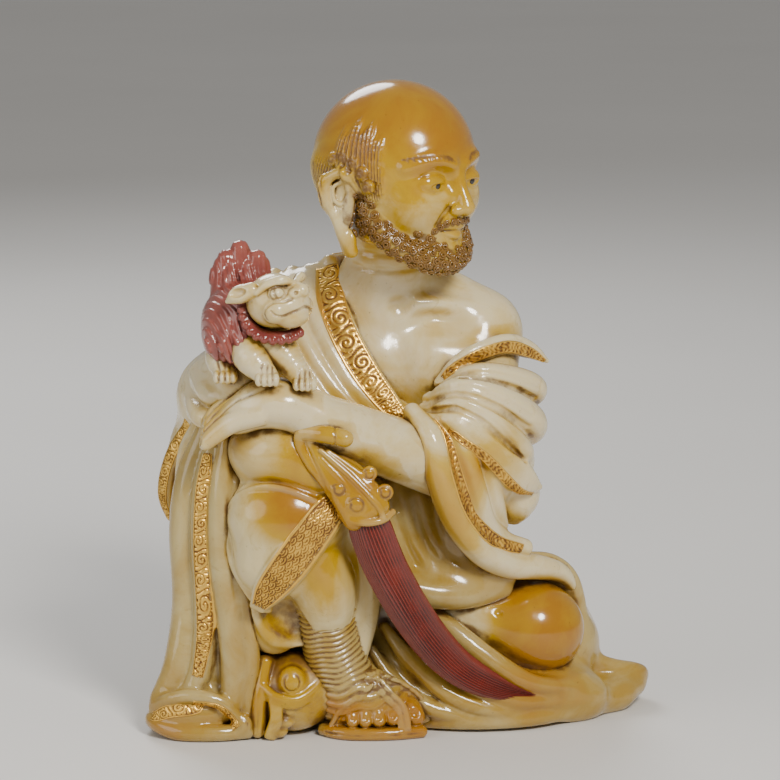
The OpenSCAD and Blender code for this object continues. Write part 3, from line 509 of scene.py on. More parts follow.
def model_raised_leg():
    c = Clay(0.28)
    c.roll([(-7, 6, 24), (-13, -5, 36), (-18, -13, 45)], (9.6, 8.8, 8), 0)
    c.lump((-18.6, -14.6, 48.4), (9.6, 8.4, 7.2), 2)
    c.lump((-13.2, -15.6, 46), (8.4, 7.4, 6.4), 2)
    c.lump((-18.4, -17.4, 37.6), (9.8, 7.5, 8.4), 0.4)
    c.lump((-19.6, -17.6, 30.8), (7.6, 6, 7), 2)
    c.roll([(-16.5, -15.5, 36), (-12.8, -16.2, 26.5), (-12, -14, 20)], (6, 5.4, 4.4), 0.5)
    # The far side of the trouser leg behind the calf, and the end drawn down under the hem
    c.roll([(-9, -18.6, 40), (-6.4, -15.8, 35), (-5.2, -13.4, 28), (-5.8, -11.8, 20), (-7, -11.4, 13)],
           (1.8, 2.2, 2.4, 2.2, 1.6), 1.4)
    c.roll([(-9.6, -13, 33), (-8.4, -10.6, 25), (-8.4, -9, 16)], (4.6, 4.4, 3.6), 1.5)
    c.lump((-20.8, -13.8, 20.6), (5.2, 4, 6.6), 1.5)
    c.roll([(-23.6, -19, 26), (-23.4, -17.8, 21), (-20.8, -16.6, 16.8), (-15.2, -14.2, 16)],
           (0.9, 0.75, 0.7, 0.6), 0.8)
    c.roll([(-20.2, -20, 25.4), (-19.4, -18.6, 21.6), (-16.8, -17, 19)], (2.2, 2.8, 2.2), 0.8, cut=True)
    # Turned edge of the cloth over the lower dome
    arch = np.array([(-28.6, -14.6, 37), (-26.8, -18.2, 42), (-23, -21.4, 44.6), (-18.6, -22.8, 44.6),
                     (-14, -23, 42.8), (-9.8, -21, 40)])
    c.roll(arch + (0, -0.1, -0.9), (0.5, 0.6, 0.65, 0.65, 0.6, 0.4), 0.4)
    c.engrave([arch], 0.3, 0.6)
    # Double lip of the trouser leg, and its slit
    lip = np.array([(-26.6, -14.6, 44), (-28, -16, 37), (-27.2, -17.2, 30.5), (-24.4, -18.8, 25.4),
                    (-21.6, -19.4, 23)])
    c.roll(lip, (0.7, 0.9, 0.95, 0.9, 0.8), 0.4)
    c.roll(lip[:4] + (1.2, -1.8, 0.4), (0.5, 0.7, 0.7, 0.3), 0.4)
    c.groove([(-24.4, -21.4, 36.6), (-24.1, -22, 33.6), (-24.3, -21.4, 30.6)], 0.35, 0.3)
    c.roll(HEM_BAND, (0.7, 0.85, 0.9, 0.85, 0.7), 0.3, wide=(2.4, 3.3, 3.5, 2.9, 1.5),
           side=(0.8, 0.2, -0.59))
    return c.fire()


# Right foot: bound shin, straw sandal

TOES = [((0.8, -12, 5.2), (2.4, -14, 3.4), 1.8), ((-1.8, -13.2, 5.4), (-1.2, -15.4, 3.4), 1.3),
        ((-3.9, -13.8, 5.2), (-3.5, -16, 3.3), 1.25), ((-6, -14, 4.9), (-5.7, -16.2, 3.2), 1.2),
        ((-8, -13.8, 4.5), (-7.8, -15.9, 3), 1.12)]
SHIN = [(-12.2, -14.2, 21.2), (-11.2, -12.6, 14.6), (-9, -11.8, 8.6)]
ROSETTE = np.array([-4.0, -14.6, 9.8])
TILT = turned(x=-28, z=12)


def cord_turns(x, y, z):
    """Cord wound round the shin, then fanning out over the instep: 1 on a turn, -1 between two."""
    foot = np.array(SHIN[-1])
    axis = unit(np.array(SHIN[0]) - foot)
    along = (x - foot[0]) * axis[0] + (y - foot[1]) * axis[1] + (z - foot[2]) * axis[2]
    swing = 7.5 * np.arctan2(z - 10.5 - 0.3 * (x + 9), -(y + 4))
    wound = np.where(along > 1.5, along, 1.5 + swing)
    return np.cos(2 * np.pi * (wound + 0.2 * np.sin(1.1 * x)) / 0.92)


def model_right_foot():
    c = Clay(0.2)
    c.roll(SHIN, (4.6, 4.8, 5), 0)
    c.lump((-9.4, -10.6, 6), (5.2, 5, 4.8), 1.5)
    c.lump((-4.6, -12.2, 5.6), (6.2, 4.2, 4.8), 2.6)
    top = np.array(SHIN[0])
    axis = unit(top - SHIN[-1])
    c.relief((-20, -22, 3), (4, -3, 26), lambda x, y, z, d: d - 0.16 * cord_turns(x, y, z))
    for turn in (0, 0.9):
        c.roll([top + axis * (1.2 - turn)
                + (4.7 * math.cos(a), 4.4 * math.sin(a), -1.1 * math.sin(a) + 0.2 * math.cos(a))
                for a in np.linspace(0, 2 * np.pi, 17)], 0.5, 0.2)
    for root, tip, r in TOES:
        c.roll([root, (np.array(root) + tip) / 2 + (0, -0.3, 0.3), tip], (r, r * 1.05, r * 0.95), 0.25, step=0.6)
        c.lump(np.array(tip) + (0.1, -r * 0.86, r * 0.6), (r * 0.52, r * 0.3, r * 0.5), 0.12, cut=True)
    # Sole, and the straps that meet under the rosette
    c.roll([(-11.2, -11.4, 1.05), (-8, -13.4, 1.05), (-2, -13.4, 1.05), (3, -12.4, 1.05)], 1.05, 0.2,
           wide=(3.4, 4, 4, 3.4), side=(0, 1, 0))
    c.groove([(-12.4, -15, 1.05), (-8.4, -17.5, 1.05), (-2, -17.5, 1.05), (4, -15.8, 1.05)], 0.16, 0.3)
    straps = [[(-3.6, -15.4, 9.4), (-1.6, -16, 7.2), (0.2, -15.6, 5), (0.8, -16.2, 2)],
              [(-4.6, -15.2, 9.2), (-7, -15.8, 7.2), (-9.2, -15.4, 5), (-10.8, -14.4, 2)],
              [(-2.8, -14.6, 9.8), (0.6, -13.2, 8), (3, -11.8, 5.4), (4, -11, 2)]]
    for strap in straps:
        c.roll(strap, 0.5, 0.2, wide=1.15, side=(0.6, 0, 0.5), step=0.6)
        c.groove(np.array(strap) + (0, -0.55, 0.3), 0.13, 0.2)
    c.lump(ROSETTE, (2, 1, 1.9), 0.25, TILT)
    for i in range(12):
        a = math.radians(30 * i)
        ray = TILT @ np.array([[0.75 * math.cos(a), 2.1 * math.cos(a)], [-1.05, -0.55],
                               [0.7 * math.sin(a), 2 * math.sin(a)]])
        c.groove([ROSETTE + ray[:, 0], ROSETTE + ray.mean(1) + (0, -0.1, 0), ROSETTE + ray[:, 1]], 0.13, 0.15)
    c.lump(ROSETTE + TILT @ np.array((0, -0.9, 0)), (0.6, 0.5, 0.6), 0.1)
    return c.fire()


def model_left_foot():
    c = Clay(0.22)
    c.lump((-17.6, -11.4, 7.2), (6.2, 5.6, 6.6), 0)
    c.roll([(-18, -11, 7), (-12, -9.6, 8), (-7, -6, 9)], (5.6, 5.4, 5), 2)
    c.roll([(-22, -13.2, 12.6), (-22.6, -13.8, 7), (-23.2, -14.2, 1.4)], 1.3, 0.3,
           wide=(2.6, 3.4, 2.8), side=(0.25, 1, 0))
    c.groove([(-22.4, -16.6, 12.8), (-23, -17.4, 7), (-23.6, -17.2, 1.4)], 0.16, 0.3)
    # Big toe with its nail, smaller toes below, and the strap
    c.lump((-17.8, -15.8, 9.8), (2.4, 2.2, 2.7), 0.5)
    nail = [(-17.8 + 1.25 * math.cos(a), -17.7 + 0.25 * abs(math.cos(a)), 10.2 + 1.5 * math.sin(a))
            for a in np.linspace(0, 2 * np.pi, 14)]
    c.groove(nail, 0.14, 0.2)
    for z, x in ((5.2, -18.4), (3.1, -19.2), (1.5, -20.2)):
        c.lump((x, -15.8, z), (1.7, 1.5, 1.2), 0.3)
    c.roll([(-22.6, -16, 8.6), (-20.4, -17.4, 7.2), (-17, -17.4, 6.8), (-14, -15.6, 8.4), (-12.6, -13.6, 10.4)],
           0.75, 0.25, wide=1.25, side=(0, -0.3, 1), step=0.6)
    c.roll([(-20.6, -17.4, 7), (-20.4, -17.4, 4), (-21.4, -16.6, 0.8)],
           0.65, 0.25, wide=1.1, side=(1, 0, 0), step=0.6)
    return c.fire()


def model_left_knee():
    c = Clay(0.26)
    c.lump((22.5, -1.5, 15.4), (8.5, 8, 7.9), 0)
    c.roll([(21, -1.2, 15.8), (14, -2.8, 17.4), (9, -4, 18.6)], (7, 5.4, 3.6), 2.2)
    c.groove([(10.6, -7.4, 22.6), (12.8, -7.6, 22.2), (15, -8, 21.2), (16.2, -8.2, 20)], 0.32, 0.5)
    c.lump((16.4, -8.4, 19.6), (0.7, 1.1, 0.7), 0.4, cut=True)
    return c.fire()


# Lower robe, from the waist to the hem on the ground

SIDE_FOLDS = [
    ([(-32, -10.4, 51), (-34.4, -9.8, 43), (-35.2, -9.8, 34), (-34.8, -10.2, 22), (-36.4, -11.4, 12),
      (-39.4, -11.6, 6)], (1.6, 2.6, 3, 3, 2.8, 2)),
    ([(-30.4, -12.6, 50), (-32.2, -13, 42), (-32.6, -13.4, 33), (-32, -13.5, 22), (-32.8, -13.8, 12),
      (-35.4, -14.4, 6)], (1.2, 1.8, 1.9, 2, 2, 1.6)),
    ([(-28.4, -14.4, 50), (-29.2, -15.2, 42), (-29.2, -15.4, 32), (-28, -15.2, 21), (-27.4, -14.8, 12),
      (-28, -15, 5)], (1.2, 2, 2.3, 2.3, 2.2, 1.8)),
    ([(-27, -15, 44), (-26.6, -16, 32), (-25.2, -15.8, 22), (-24.6, -15.4, 13), (-25, -15, 5)],
     (1, 1.4, 1.6, 1.6, 1.4)),
]
GROUND_FOLDS = [
    ([(3, -6.4, 20.6), (8.5, -8.8, 17), (14.6, -10.2, 12.4), (21, -9.9, 8.4), (27, -7, 6.8),
      (30.5, -4, 7.2)], (1.4, 1.8, 1.9, 1.7, 1.3, 0.7)),
    ([(0, -7.4, 18.6), (5, -9.8, 13.4), (11.6, -11.2, 8.8), (19, -10.8, 5.4), (25.5, -7.8, 4.4)],
     (1, 1.5, 1.6, 1.5, 1)),
    ([(-2.6, -7.6, 17), (2.2, -10, 11.4), (8.6, -11.6, 6.4), (15.6, -11.4, 3.8), (21, -9.6, 3.2)],
     (1, 1.5, 1.6, 1.4, 1)),
    ([(-4.8, -8.4, 13.4), (-0.4, -10.4, 7.4), (5, -11.4, 4.2), (11, -11.4, 2.6)], (1, 1.4, 1.5, 1)),
]
CORNER_LIP = [(-40.8, -12.4, 4.6), (-38, -15.4, 6.8), (-33.6, -16.8, 7.6), (-29.4, -17, 6.6), (-26.8, -16.8, 4)]
SIDE_BAND = [(-31.6, -14.2, 48), (-32.4, -15, 42), (-32.8, -15.4, 34), (-32.6, -15.6, 26), (-32.2, -15.6, 18),
             (-33.4, -15.8, 10.4)]
KNEE_SHEET = [(15, -5, 28), (20, -3, 27.4), (25, -0.4, 26.6), (28.4, 2, 23.6), (30, 3.6, 18.6), (30.4, 4.6, 13),
              (31.8, 5.4, 9), (35.8, 6.2, 7), (40, 8, 5.8), (41.2, 11, 4.4), (38.6, 14.6, 2.6)]


def model_lower_robe():
    c = Clay(0.434)
    c.lump((-1, 8, 17), (22, 13, 19), 0)
    c.lump((-1, 5.5, 2.5), (31, 14, 6), 5)
    c.lump((0.5, 3, 37), (13.6, 10.4, 7), 2)
    c.roll([(4, 6, 15), (19.5, 3.5, 13.4), (26.5, 5.5, 11.4)], (9.5, 8, 7.2), 2)
    c.lump((21, 8, 17), (9.6, 7.6, 9), 2.5)
    c.lump((26.4, 8, 9.6), (7, 6, 8), 2.5)
    c.roll([(-27, -8.4, 44), (-28.6, -8.4, 28), (-29, -6, 9)], (5.8, 6.4, 7.6), 3)
    c.roll([(-20, 2, 30), (-27, 2, 12), (-32, -4, 3.4)], (8, 7.4, 5.6), 3)
    c.fan(3, [[(-28.4, -2, 32), (-24, 8.6, 30)], [(-34.4, -2, 16), (-29.6, 9.4, 14)], [(-38.4, -5, 4), (-32.6, 9, 3)]],
          (0.9, 1.6, 1.4), 1.2)
    # Lap under the forearm, hollow between the hair and the cuff
    c.lump((4, -0.6, 33), (11, 6.4, 11), 3)
    c.lump((9, -4.4, 26), (11, 5.4, 4.6), 3)
    c.fan(4, [[(-4, -6, 41), (6, -5, 42)], [(-1.4, -7.4, 33), (8, -7, 33)], [(1.6, -8, 26.6), (12, -7.4, 28)]],
          (1.2, 1.7, 1.4), 1)
    c.roll([(-7, -5.6, 25), (-1, -9.2, 24.6), (5, -9.8, 23.4), (11, -8.4, 22.8), (17, -5, 22.8)],
           (1.6, 2.5, 2.6, 2.4, 1.6), 2)
    c.lump((6, -3.6, 7), (16, 7.2, 9.6), 3)
    c.lump((19, -3.4, 5), (12, 6.4, 6), 3)
    for points, radii in SIDE_FOLDS:
        c.roll(points, radii, 0.5)
    for points, radii in GROUND_FOLDS:
        c.roll(points, radii, 0.9)
    # Turned-up corner of the hem
    c.lump((-34, -11, 4), (7.6, 6.4, 4.6), 1.5)
    c.roll([(-25.2, -16, 1.5), (-31, -17.2, 1.4), (-37, -16.2, 1.5), (-41, -12, 2.4), (-39, -4, 1.6),
            (-35.4, 2.6, 1.5), (-32.8, 7.4, 1.6)], (1.3, 1.4, 1.5, 1.4, 1.4, 1.4, 1.4), 0.5)
    c.lump((-31.4, 3.4, 2.6), (4, 5, 3), 2)
    c.roll(CORNER_LIP, (0.9, 1.1, 1.2, 1.1, 0.9), 0.5)
    c.lump((-26, -16.6, 2.8), (1.7, 1.5, 1.8), 0.3)
    c.groove([(-26 + 0.32 * a * math.cos(a * 2.2), -18.2 + 0.12 * a, 2.8 + 0.32 * a * math.sin(a * 2.2))
              for a in np.linspace(0.4, 4, 14)], 0.16, 0.2)
    # Hem along the front, to its spoon-shaped tip at the left
    c.roll([(-3, -6.4, 1.6), (6, -10, 1.8), (14, -11, 1.9), (22.5, -9, 2), (30, -3, 2), (36, 4, 1.9)], 1.5, 0.5)
    c.lump((29, -1, 4), (6, 5, 4.4), 3)
    c.lump((29, 4.5, 3), (5, 5, 3), 2)
    c.lump((35.4, 9, 3.2), (6.8, 5.6, 3.4), 1.2)
    c.lump((34.6, 4.4, 2.4), (5.2, 4, 3), 2.5)
    c.roll([(37.4, 12.4, 2), (32.6, 13, 1.9), (26.4, 14, 1.8)], (1.8, 2, 1.6), 2)
    c.lump((30.4, 9.6, 3), (6, 4.6, 3.4), 2.5)
    # Cloth standing behind the folded knee, its rim running on into the tip
    c.roll(KNEE_SHEET, (1.2, 1.5, 1.5, 1.5, 1.5, 1.4, 1.4, 1.4, 1.4, 1.4, 1.2), 1.5)
    c.roll([(18, 2, 24.6), (25, 5, 23), (28, 8, 16), (30, 9.6, 8)], (3, 3.4, 3.2, 2.6), 2)
    # Folds down the back, and the hem round it
    for i, a in enumerate(np.radians(np.linspace(12, 168, 7))):
        top = np.array((-1 + 16 * math.cos(a), 8 + 9.6 * math.sin(a), 31 - 2 * (i % 2)))
        foot = np.array((-1 + 30.4 * math.cos(a), 5.5 + 13.4 * math.sin(a), 3))
        sway = np.array((1.6 * math.cos(a) + 1.2 * (-1) ** i, 2.2 * math.sin(a), -0.6))
        c.roll([top, (top + foot) / 2 + sway, foot], (1.3, 2.7, 2.2) if i % 2 else (0.9, 1.9, 1.6), 1)
    c.roll([(-1 + (31.4 + 0.7 * math.cos(9 * a)) * math.cos(a),
             5.5 + (14.2 + 0.7 * math.cos(9 * a)) * math.sin(a), 1.6)
            for a in np.linspace(0.1, math.pi - 0.1, 40)], 1.4, 0.6)
    c.relief((-60, -60, -10), (60, 60, 6), lambda x, y, z, d: np.maximum(d, -z))
    return c.fire()


# Fly whisk

HAIR_PATH = [(-5.4, -22.6, 40.6), (-4.6, -22, 36.6), (-1.8, -19.6, 29), (3.5, -15.8, 19), (9.4, -13.4, 11.8),
             (16, -11.8, 7.8), (22.4, -10, 6)]
HAIR_SIZE = [2.8, 3.6, 3.6, 3.4, 3, 2.2, 0.5]
SCROLLS = [(-10, -24.4, 43.9, 1.4), (-7.1, -25.2, 41.4, 1.8), (-5, -24.2, 46.4, 1.3), (-2.5, -24.6, 43.4, 1.4)]


def model_whisk_head():
    c = Clay(0.18)
    # End of the handle, and the hook that runs from it down beside the leaf
    c.roll([(-15.6, -22.6, 52.8), (-12.4, -24.2, 52.9), (-8.9, -25, 52.3)], (1.2, 1.45, 1.4), 0)
    c.roll([(-12.4, -24, 52.9), (-15.6, -22.8, 52.9), (-16.2, -22.4, 51), (-14.8, -22.8, 48),
            (-12.8, -23.2, 45.2), (-10.8, -23.4, 42)], (1.2, 1.1, 0.95, 0.85, 0.7, 0.5), 0.6)
    # Leaf-shaped collar: a plate with ribs, scrolls down both edges and a lip round the hair
    c.roll([(-14.4, -22.6, 51), (-10.6, -23.2, 46.6), (-7.4, -23.8, 43), (-5.5, -24, 39.9)], (0.9, 1.3, 1.6, 1.8),
           0.4, wide=(0.8, 2.7, 3.9, 4.1), side=(0.79, 0, 0.62))
    c.roll([(-12.8, -24, 50.2), (-8.2, -24.7, 46.2), (-3.9, -25.6, 41.8), (-2.7, -25.4, 39.4)],
           (0.4, 0.6, 0.6, 0.5), 0.2, step=0.6)
    c.roll([(-11.6, -23.8, 50), (-7.2, -24.3, 46.9), (-4.6, -24.6, 45)], (0.35, 0.5, 0.45), 0.2, step=0.6)
    c.roll([(-12.8, -23.8, 48.8), (-9.5, -24.5, 45.4), (-8.4, -25, 43.4)], (0.35, 0.5, 0.45), 0.2, step=0.6)
    c.roll([(-9.7, -23, 39.4), (-8, -25, 38.9), (-5.4, -25.7, 38.6), (-2.8, -25.2, 39), (-1.3, -23, 39.8)],
           0.6, 0.3, step=0.6)
    for x, y, z, r in SCROLLS:
        c.lump((x, y, z), (r, 0.9, r), 0.2)
    turns = np.linspace(0.6, 1, 16) * 2 * np.pi
    spirals = [[(x + r * (a / 6.5 - 0.1) * math.cos(2.4 * a), y - 0.8,
                 z + r * (a / 6.5 - 0.1) * math.sin(2.4 * a)) for a in turns] for x, y, z, r in SCROLLS]
    ring = [(-10.5, -24.6 + 1.5 * math.cos(a), 52.6 + 1.5 * math.sin(a)) for a in np.linspace(0, 2 * np.pi, 13)]
    c.engrave(spirals + [ring], 0.17, 0.15)
    return c.fire()


# Lion cub

LION_HEAD = np.array([-20.0, -22.0, 74.0])
LION_WAY = turned(z=54) @ turned(x=-14)


def model_lion_coat():
    c = Clay(0.2)
    c.roll([(-27, -12, 69.4), (-25.4, -15.5, 70.6), (-23.8, -18, 71.4)], (5.4, 6, 4.6), 0)
    c.lump((-26.8, -16.8, 68), (5.2, 5.2, 6), 2)
    # Tail in upright flames, and locks of the coat hanging over the flank
    flames = [([(-28, -13.6, 73), (-28.8, -13.2, 76.8), (-28.2, -13.4, 79.8)], (2.6, 2.2, 1.5)),
              ([(-26, -13.2, 74), (-26.2, -12.8, 78.2), (-26, -13, 81.2)], (2.6, 2.3, 1.6)),
              ([(-24, -13.4, 74), (-23, -13, 77.4), (-23.2, -13.4, 79.8)], (2.4, 2.2, 1.5)),
              ([(-27, -14.8, 72), (-27.6, -15.2, 76), (-27.2, -14.6, 79)], (1.6, 1.4, 0.7)),
              ([(-24.8, -14.8, 72), (-24.8, -15, 76), (-24.6, -14.6, 78.8)], (1.6, 1.4, 0.7))]
    locks = [([(-27.4, -20.4, 70), (-28, -21.4, 67), (-27, -21.8, 64.4)], (1.5, 1.4, 0.5)),
             ([(-25.4, -20.8, 70), (-25.6, -22, 67.4), (-24.6, -22.4, 65.4)], (1.5, 1.3, 0.5)),
             ([(-29.4, -18.6, 70), (-30.2, -19.4, 67), (-29.4, -20, 64.6)], (1.5, 1.4, 0.5))]
    for points, radii in flames + locks:
        c.roll(points, radii, 0.5, step=0.6)

    def hairs(x, y, z, d):
        lean = 0.85 * x + 0.5 * y + 0.16 * (z - 66) + 0.4 * np.sin(0.5 * z + 0.3 * x)
        lean = lean + ease((z - 72) / 5) * (0.1 * x - 0.3 * y - 0.16 * (z - 66))
        return d - 0.15 * np.cos(2 * np.pi * lean / 0.9) * (1 - 0.7 * ease((z - 76.5) / 4))
    c.relief((-38, -28, 58), (-14, -4, 84), hairs)
    # Ruff: scallops behind the cheek and under the chin
    ruff = LION_HEAD + np.array([(-4.8, 1, 1.4), (-5, 0.2, -1), (-4.4, -0.6, -3.2), (-2.8, -1.4, -4.8),
                                 (-0.4, -1.8, -5.4), (2, -1.6, -5.2), (3.6, -0.8, -4.4)])
    c.roll(ruff, (0.6, 0.8, 0.9, 1, 1, 0.9, 0.7), 0.3, step=0.6)
    for p in spaced(ruff, 1.3):
        out = unit((p - LION_HEAD) * (1, 0.3, 1))
        c.lump(p + out * 0.5 + (0, -0.5, 0), (0.75, 0.8, 0.8), 0.08)
    return c.fire()


def model_lion_head():
    c = Clay(0.16, LION_HEAD, LION_WAY)
    c.lump((0, 0.2, 0.2), (4.7, 4.5, 4.5), 0)
    c.lump((0, -3, -0.9), (3.6, 2.8, 2.6), 1.2)
    c.lump((0, -2.8, -3), (3, 2.5, 1.7), 0.5)
    # Snub nose with open nostrils
    c.roll([(0, -3.6, 2.2), (0, -4.8, 1.5), (0, -5.6, 1)], (0.9, 1.1, 1.2), 0.5, step=0.6)
    lines = []
    for s in (-1, 1):
        c.lump((s * 1.3, -5.1, 0.7), (1.1, 1, 0.95), 0.3)
        c.lump((s * 1.7, -5.9, 0.8), (0.42, 0.55, 0.36), 0.12, cut=True)
        # Long brow over a ringed eye, and the round cheek
        brow = mirrored([(0.6, -4.5, 2.6), (2.4, -4.1, 3.2), (4, -2.3, 3), (4.8, -0.4, 2)], s)
        c.roll(brow, (0.5, 0.8, 0.75, 0.5), 0.4, step=0.6)
        c.lump((s * 3.1, -3, 1.3), (1.5, 1.4, 1.1), 0.3)
        c.lump((s * 3.2, -2.2, -1.5), (2, 2.2, 2), 0.8)
        for reach in (1.25, 0.6):
            lines.append([(s * (3.2 + 0.72 * reach * math.cos(a)), -3.6 + 0.7 * reach * math.cos(a),
                           1.35 + 0.75 * reach * math.sin(a)) for a in np.linspace(0, 2 * np.pi, 13)])
        lines.append(mirrored([(1.9, -5, 0), (3.2, -4.1, -0.3), (4.3, -2.8, -0.3), (4.9, -1.4, -1.1),
                               (4.6, -1.4, -2.5)], s))
        lines.append(mirrored([(0, -5.7, -1.6), (1.6, -5.3, -2), (3, -4.3, -2.3), (4.1, -3.1, -2),
                               (4.4, -2.6, -1.4)], s))
        # Ear: a round knob, and a leaf laid back with a hollow towards the front
        c.lump((s * 4.4, 0.8, 2.6), (1.2, 1.3, 1.3), 0.2)
        c.roll([(s * 4.4, 1, 2.4), (s * 5.2, 2.8, 2.3), (s * 5.8, 5, 1.6)], (1.2, 1.5, 0.4), 0.3, step=0.6)
        c.lump((s * 6.2, 2.4, 2.6), (0.9, 1.5, 0.75), 0.3, turned(z=-s * 20), cut=True)
    c.engrave(lines, 0.22, 0.12)
    return c.fire()


LION_LEGS = [
    ([(-24.4, -20.6, 66), (-23.8, -22.4, 64.8), (-22, -23.8, 63)], (3.2, 2.8, 2), (-21.3, -24.6, 62.2)),
    ([(-20.4, -20, 67), (-18.2, -21.2, 64.6), (-16, -22.4, 62)], (3.4, 2.6, 1.8), (-15.3, -23.2, 61.2)),
    ([(-28.4, -14.6, 66), (-29, -17.2, 64), (-28.6, -19, 62.6)], (3, 2.6, 1.9), (-28.2, -19.8, 61.8)),
]


def model_lion_leg(points, radii, paw):
    c = Clay(0.18)
    paw = np.array(paw)
    c.roll(points, radii, 0)
    c.lump(paw, (1.9, 1.8, 1.5), 0.8)
    clefts = []
    for i in range(4):
        toe = paw + (-1.35 + 0.9 * i, -1.1 - 0.35 * (i in (1, 2)), -0.2)
        c.lump(toe, (0.66, 1.3, 1.1), 0.12)
        clefts.append([toe + (0.45, -1, -0.4), toe + (0.45, -0.8, 0.6), toe + (0.45, 0.2, 1.3),
                       toe + (0.35, 1.4, 2)])
    c.engrave(clefts[:3], 0.15, 0.2)
    return c.fire()


# Meshes

def new_piece(name, points, faces):
    mesh = bpy.data.meshes.new(name)
    mesh.vertices.add(len(points))
    mesh.vertices.foreach_set("co", (np.asarray(points, float) * MM).astype(np.float32).ravel())
    faces = np.asarray(faces)
    mesh.loops.add(faces.size)
    mesh.loops.foreach_set("vertex_index", faces.astype(np.int32).ravel())
    mesh.polygons.add(len(faces))
    mesh.polygons.foreach_set("loop_start", np.arange(0, faces.size, faces.shape[1], dtype=np.int32))
    mesh.polygons.foreach_set("use_smooth", np.ones(len(faces), bool))
    mesh.update(calc_edges=True)
    obj = bpy.data.objects.new(name, mesh)
    bpy.context.collection.objects.link(obj)
    return obj


def normals_of(obj):
    out = np.empty(len(obj.data.vertices) * 3, np.float32)
    obj.data.vertex_normals.foreach_get("vector", out)
    return out.reshape(-1, 3)


def set_values(obj, **values):
    for key, value in values.items():
        layer = obj.data.attributes.new(key, "FLOAT", "POINT")
        layer.data.foreach_set("value", np.asarray(value, np.float32))


def hand_in(obj, node, slot, material):
    obj.data.materials.append(material)
    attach(obj, "root")
    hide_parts(node)


def spot(points, at, size):
    """1 in the middle of a soft spot, falling to 0 at its edge."""
    return ease(1.25 - np.linalg.norm((points - np.array(at)) / np.array(size), axis=1))


# Materials: waxed soapstone in several colours, worn gilding and black inlay

class Paint:
    """A procedural material put together step by step."""

    def __init__(self, name):
        self.material = bpy.data.materials.new(name)
        self.material.use_nodes = True
        self.tree = self.material.node_tree
        self.shader = self.tree.nodes["Principled BSDF"]
        self.where = self.node("ShaderNodeTexCoord").outputs["Object"]

    def node(self, kind, links=(), **settings):
        made = self.tree.nodes.new(kind)
        for key, value in settings.items():
            setattr(made, key, value)
        for socket, source in dict(links).items():
            if hasattr(source, "is_output"):
                self.tree.links.new(source, made.inputs[socket])
            else:
                made.inputs[socket].default_value = source
        return made

    def noise(self, scale, detail=4, rough=0.55, bend=0):
        links = {"Vector": self.where, "Scale": scale, "Detail": detail, "Roughness": rough, "Distortion": bend}
        return self.node("ShaderNodeTexNoise", links).outputs["Fac"]

    def value(self, name):
        return self.node("ShaderNodeAttribute", attribute_name=name).outputs["Fac"]

    def spread(self, source, low, high, to_low=0.0, to_high=1.0):
        links = {"Value": source, "From Min": low, "From Max": high, "To Min": to_low, "To Max": to_high}
        return self.node("ShaderNodeMapRange", links, interpolation_type="SMOOTHSTEP").outputs["Result"]

    def add(self, a, b, how="ADD"):
        return self.node("ShaderNodeMath", {0: a, 1: b}, operation=how).outputs[0]

    def ramp(self, source, stops):
        made = self.node("ShaderNodeValToRGB", {"Fac": source})
        while len(made.color_ramp.elements) < len(stops):
            made.color_ramp.elements.new(0.5)
        for element, (at, colour) in zip(made.color_ramp.elements, stops):
            element.position, element.color = at, (*colour, 1)
        return made.outputs["Color"]

    def mix(self, fac, a, b, how="MIX"):
        made = self.node("ShaderNodeMix", data_type="RGBA", blend_type=how)
        for socket, source in ((0, fac), (6, a), (7, b)):
            if hasattr(source, "is_output"):
                self.tree.links.new(source, made.inputs[socket])
            else:
                made.inputs[socket].default_value = source if socket == 0 else (*source, 1)
        return made.outputs[2]

    def finish(self, colour, rough, bump=None, **sockets):
        self.tree.links.new(colour, self.shader.inputs["Base Color"])
        self.tree.links.new(rough, self.shader.inputs["Roughness"])
        if bump is not None:
            made = self.node("ShaderNodeBump", {"Height": bump[0], "Strength": bump[1], "Distance": bump[2]})
            self.tree.links.new(made.outputs["Normal"], self.shader.inputs["Normal"])
        for key, value in sockets.items():
            self.shader.inputs[key.replace("_", " ")].default_value = value
        return self.material


def soapstone(name, pale, middle, deep, dirt_and_shade, depth=0.35):
    p = Paint(name)
    # amber holds each stone's own tint, with painted warm shade added in its hollows
    warm = p.add(p.value("amber"), p.spread(p.noise(75, 5, 0.6, 0.8), 0.3, 0.7, -0.16, 0.16))
    stone = p.ramp(warm, [(0.08, pale), (0.48, middle), (0.92, deep)])
    stone = p.mix(p.spread(p.noise(260, 6, 0.7, 1.5), 0.56, 0.72, 0, 0.35), stone, tuple(c * 0.72 for c in middle))
    stone = p.mix(p.spread(p.noise(1500, 3, 0.6), 0.68, 0.76, 0, 0.4), stone, tuple(c * 0.45 for c in dirt_and_shade))
    # Painted highlight: thin edges and crests are made paler
    stone = p.mix(p.spread(p.value("edge"), 0.35, 0.9, 0, 0.22), stone, tuple(min(1, c * 1.15 + 0.04) for c in pale))
    # Painted shade with dirt: creases and hollows are darkened towards the dirt colour and made rougher
    crease = p.add(p.value("grime"), p.spread(p.noise(420, 4, 0.6), 0.3, 0.7, 0.55, 1.15), "MULTIPLY")
    stone = p.mix(p.spread(crease, 0.3, 0.95, 0, 0.88), stone, dirt_and_shade)
    rough = p.spread(crease, 0.2, 0.9, 0.17, 0.46)
    return p.finish(stone, rough, (p.noise(900, 4, 0.6), 0.05, 0.0004), Subsurface_Weight=depth, Subsurface_Scale=1.0,
                    Subsurface_Radius=(0.0034, 0.0026, 0.001), Coat_Weight=0.4, Coat_Roughness=0.06, IOR=1.52)


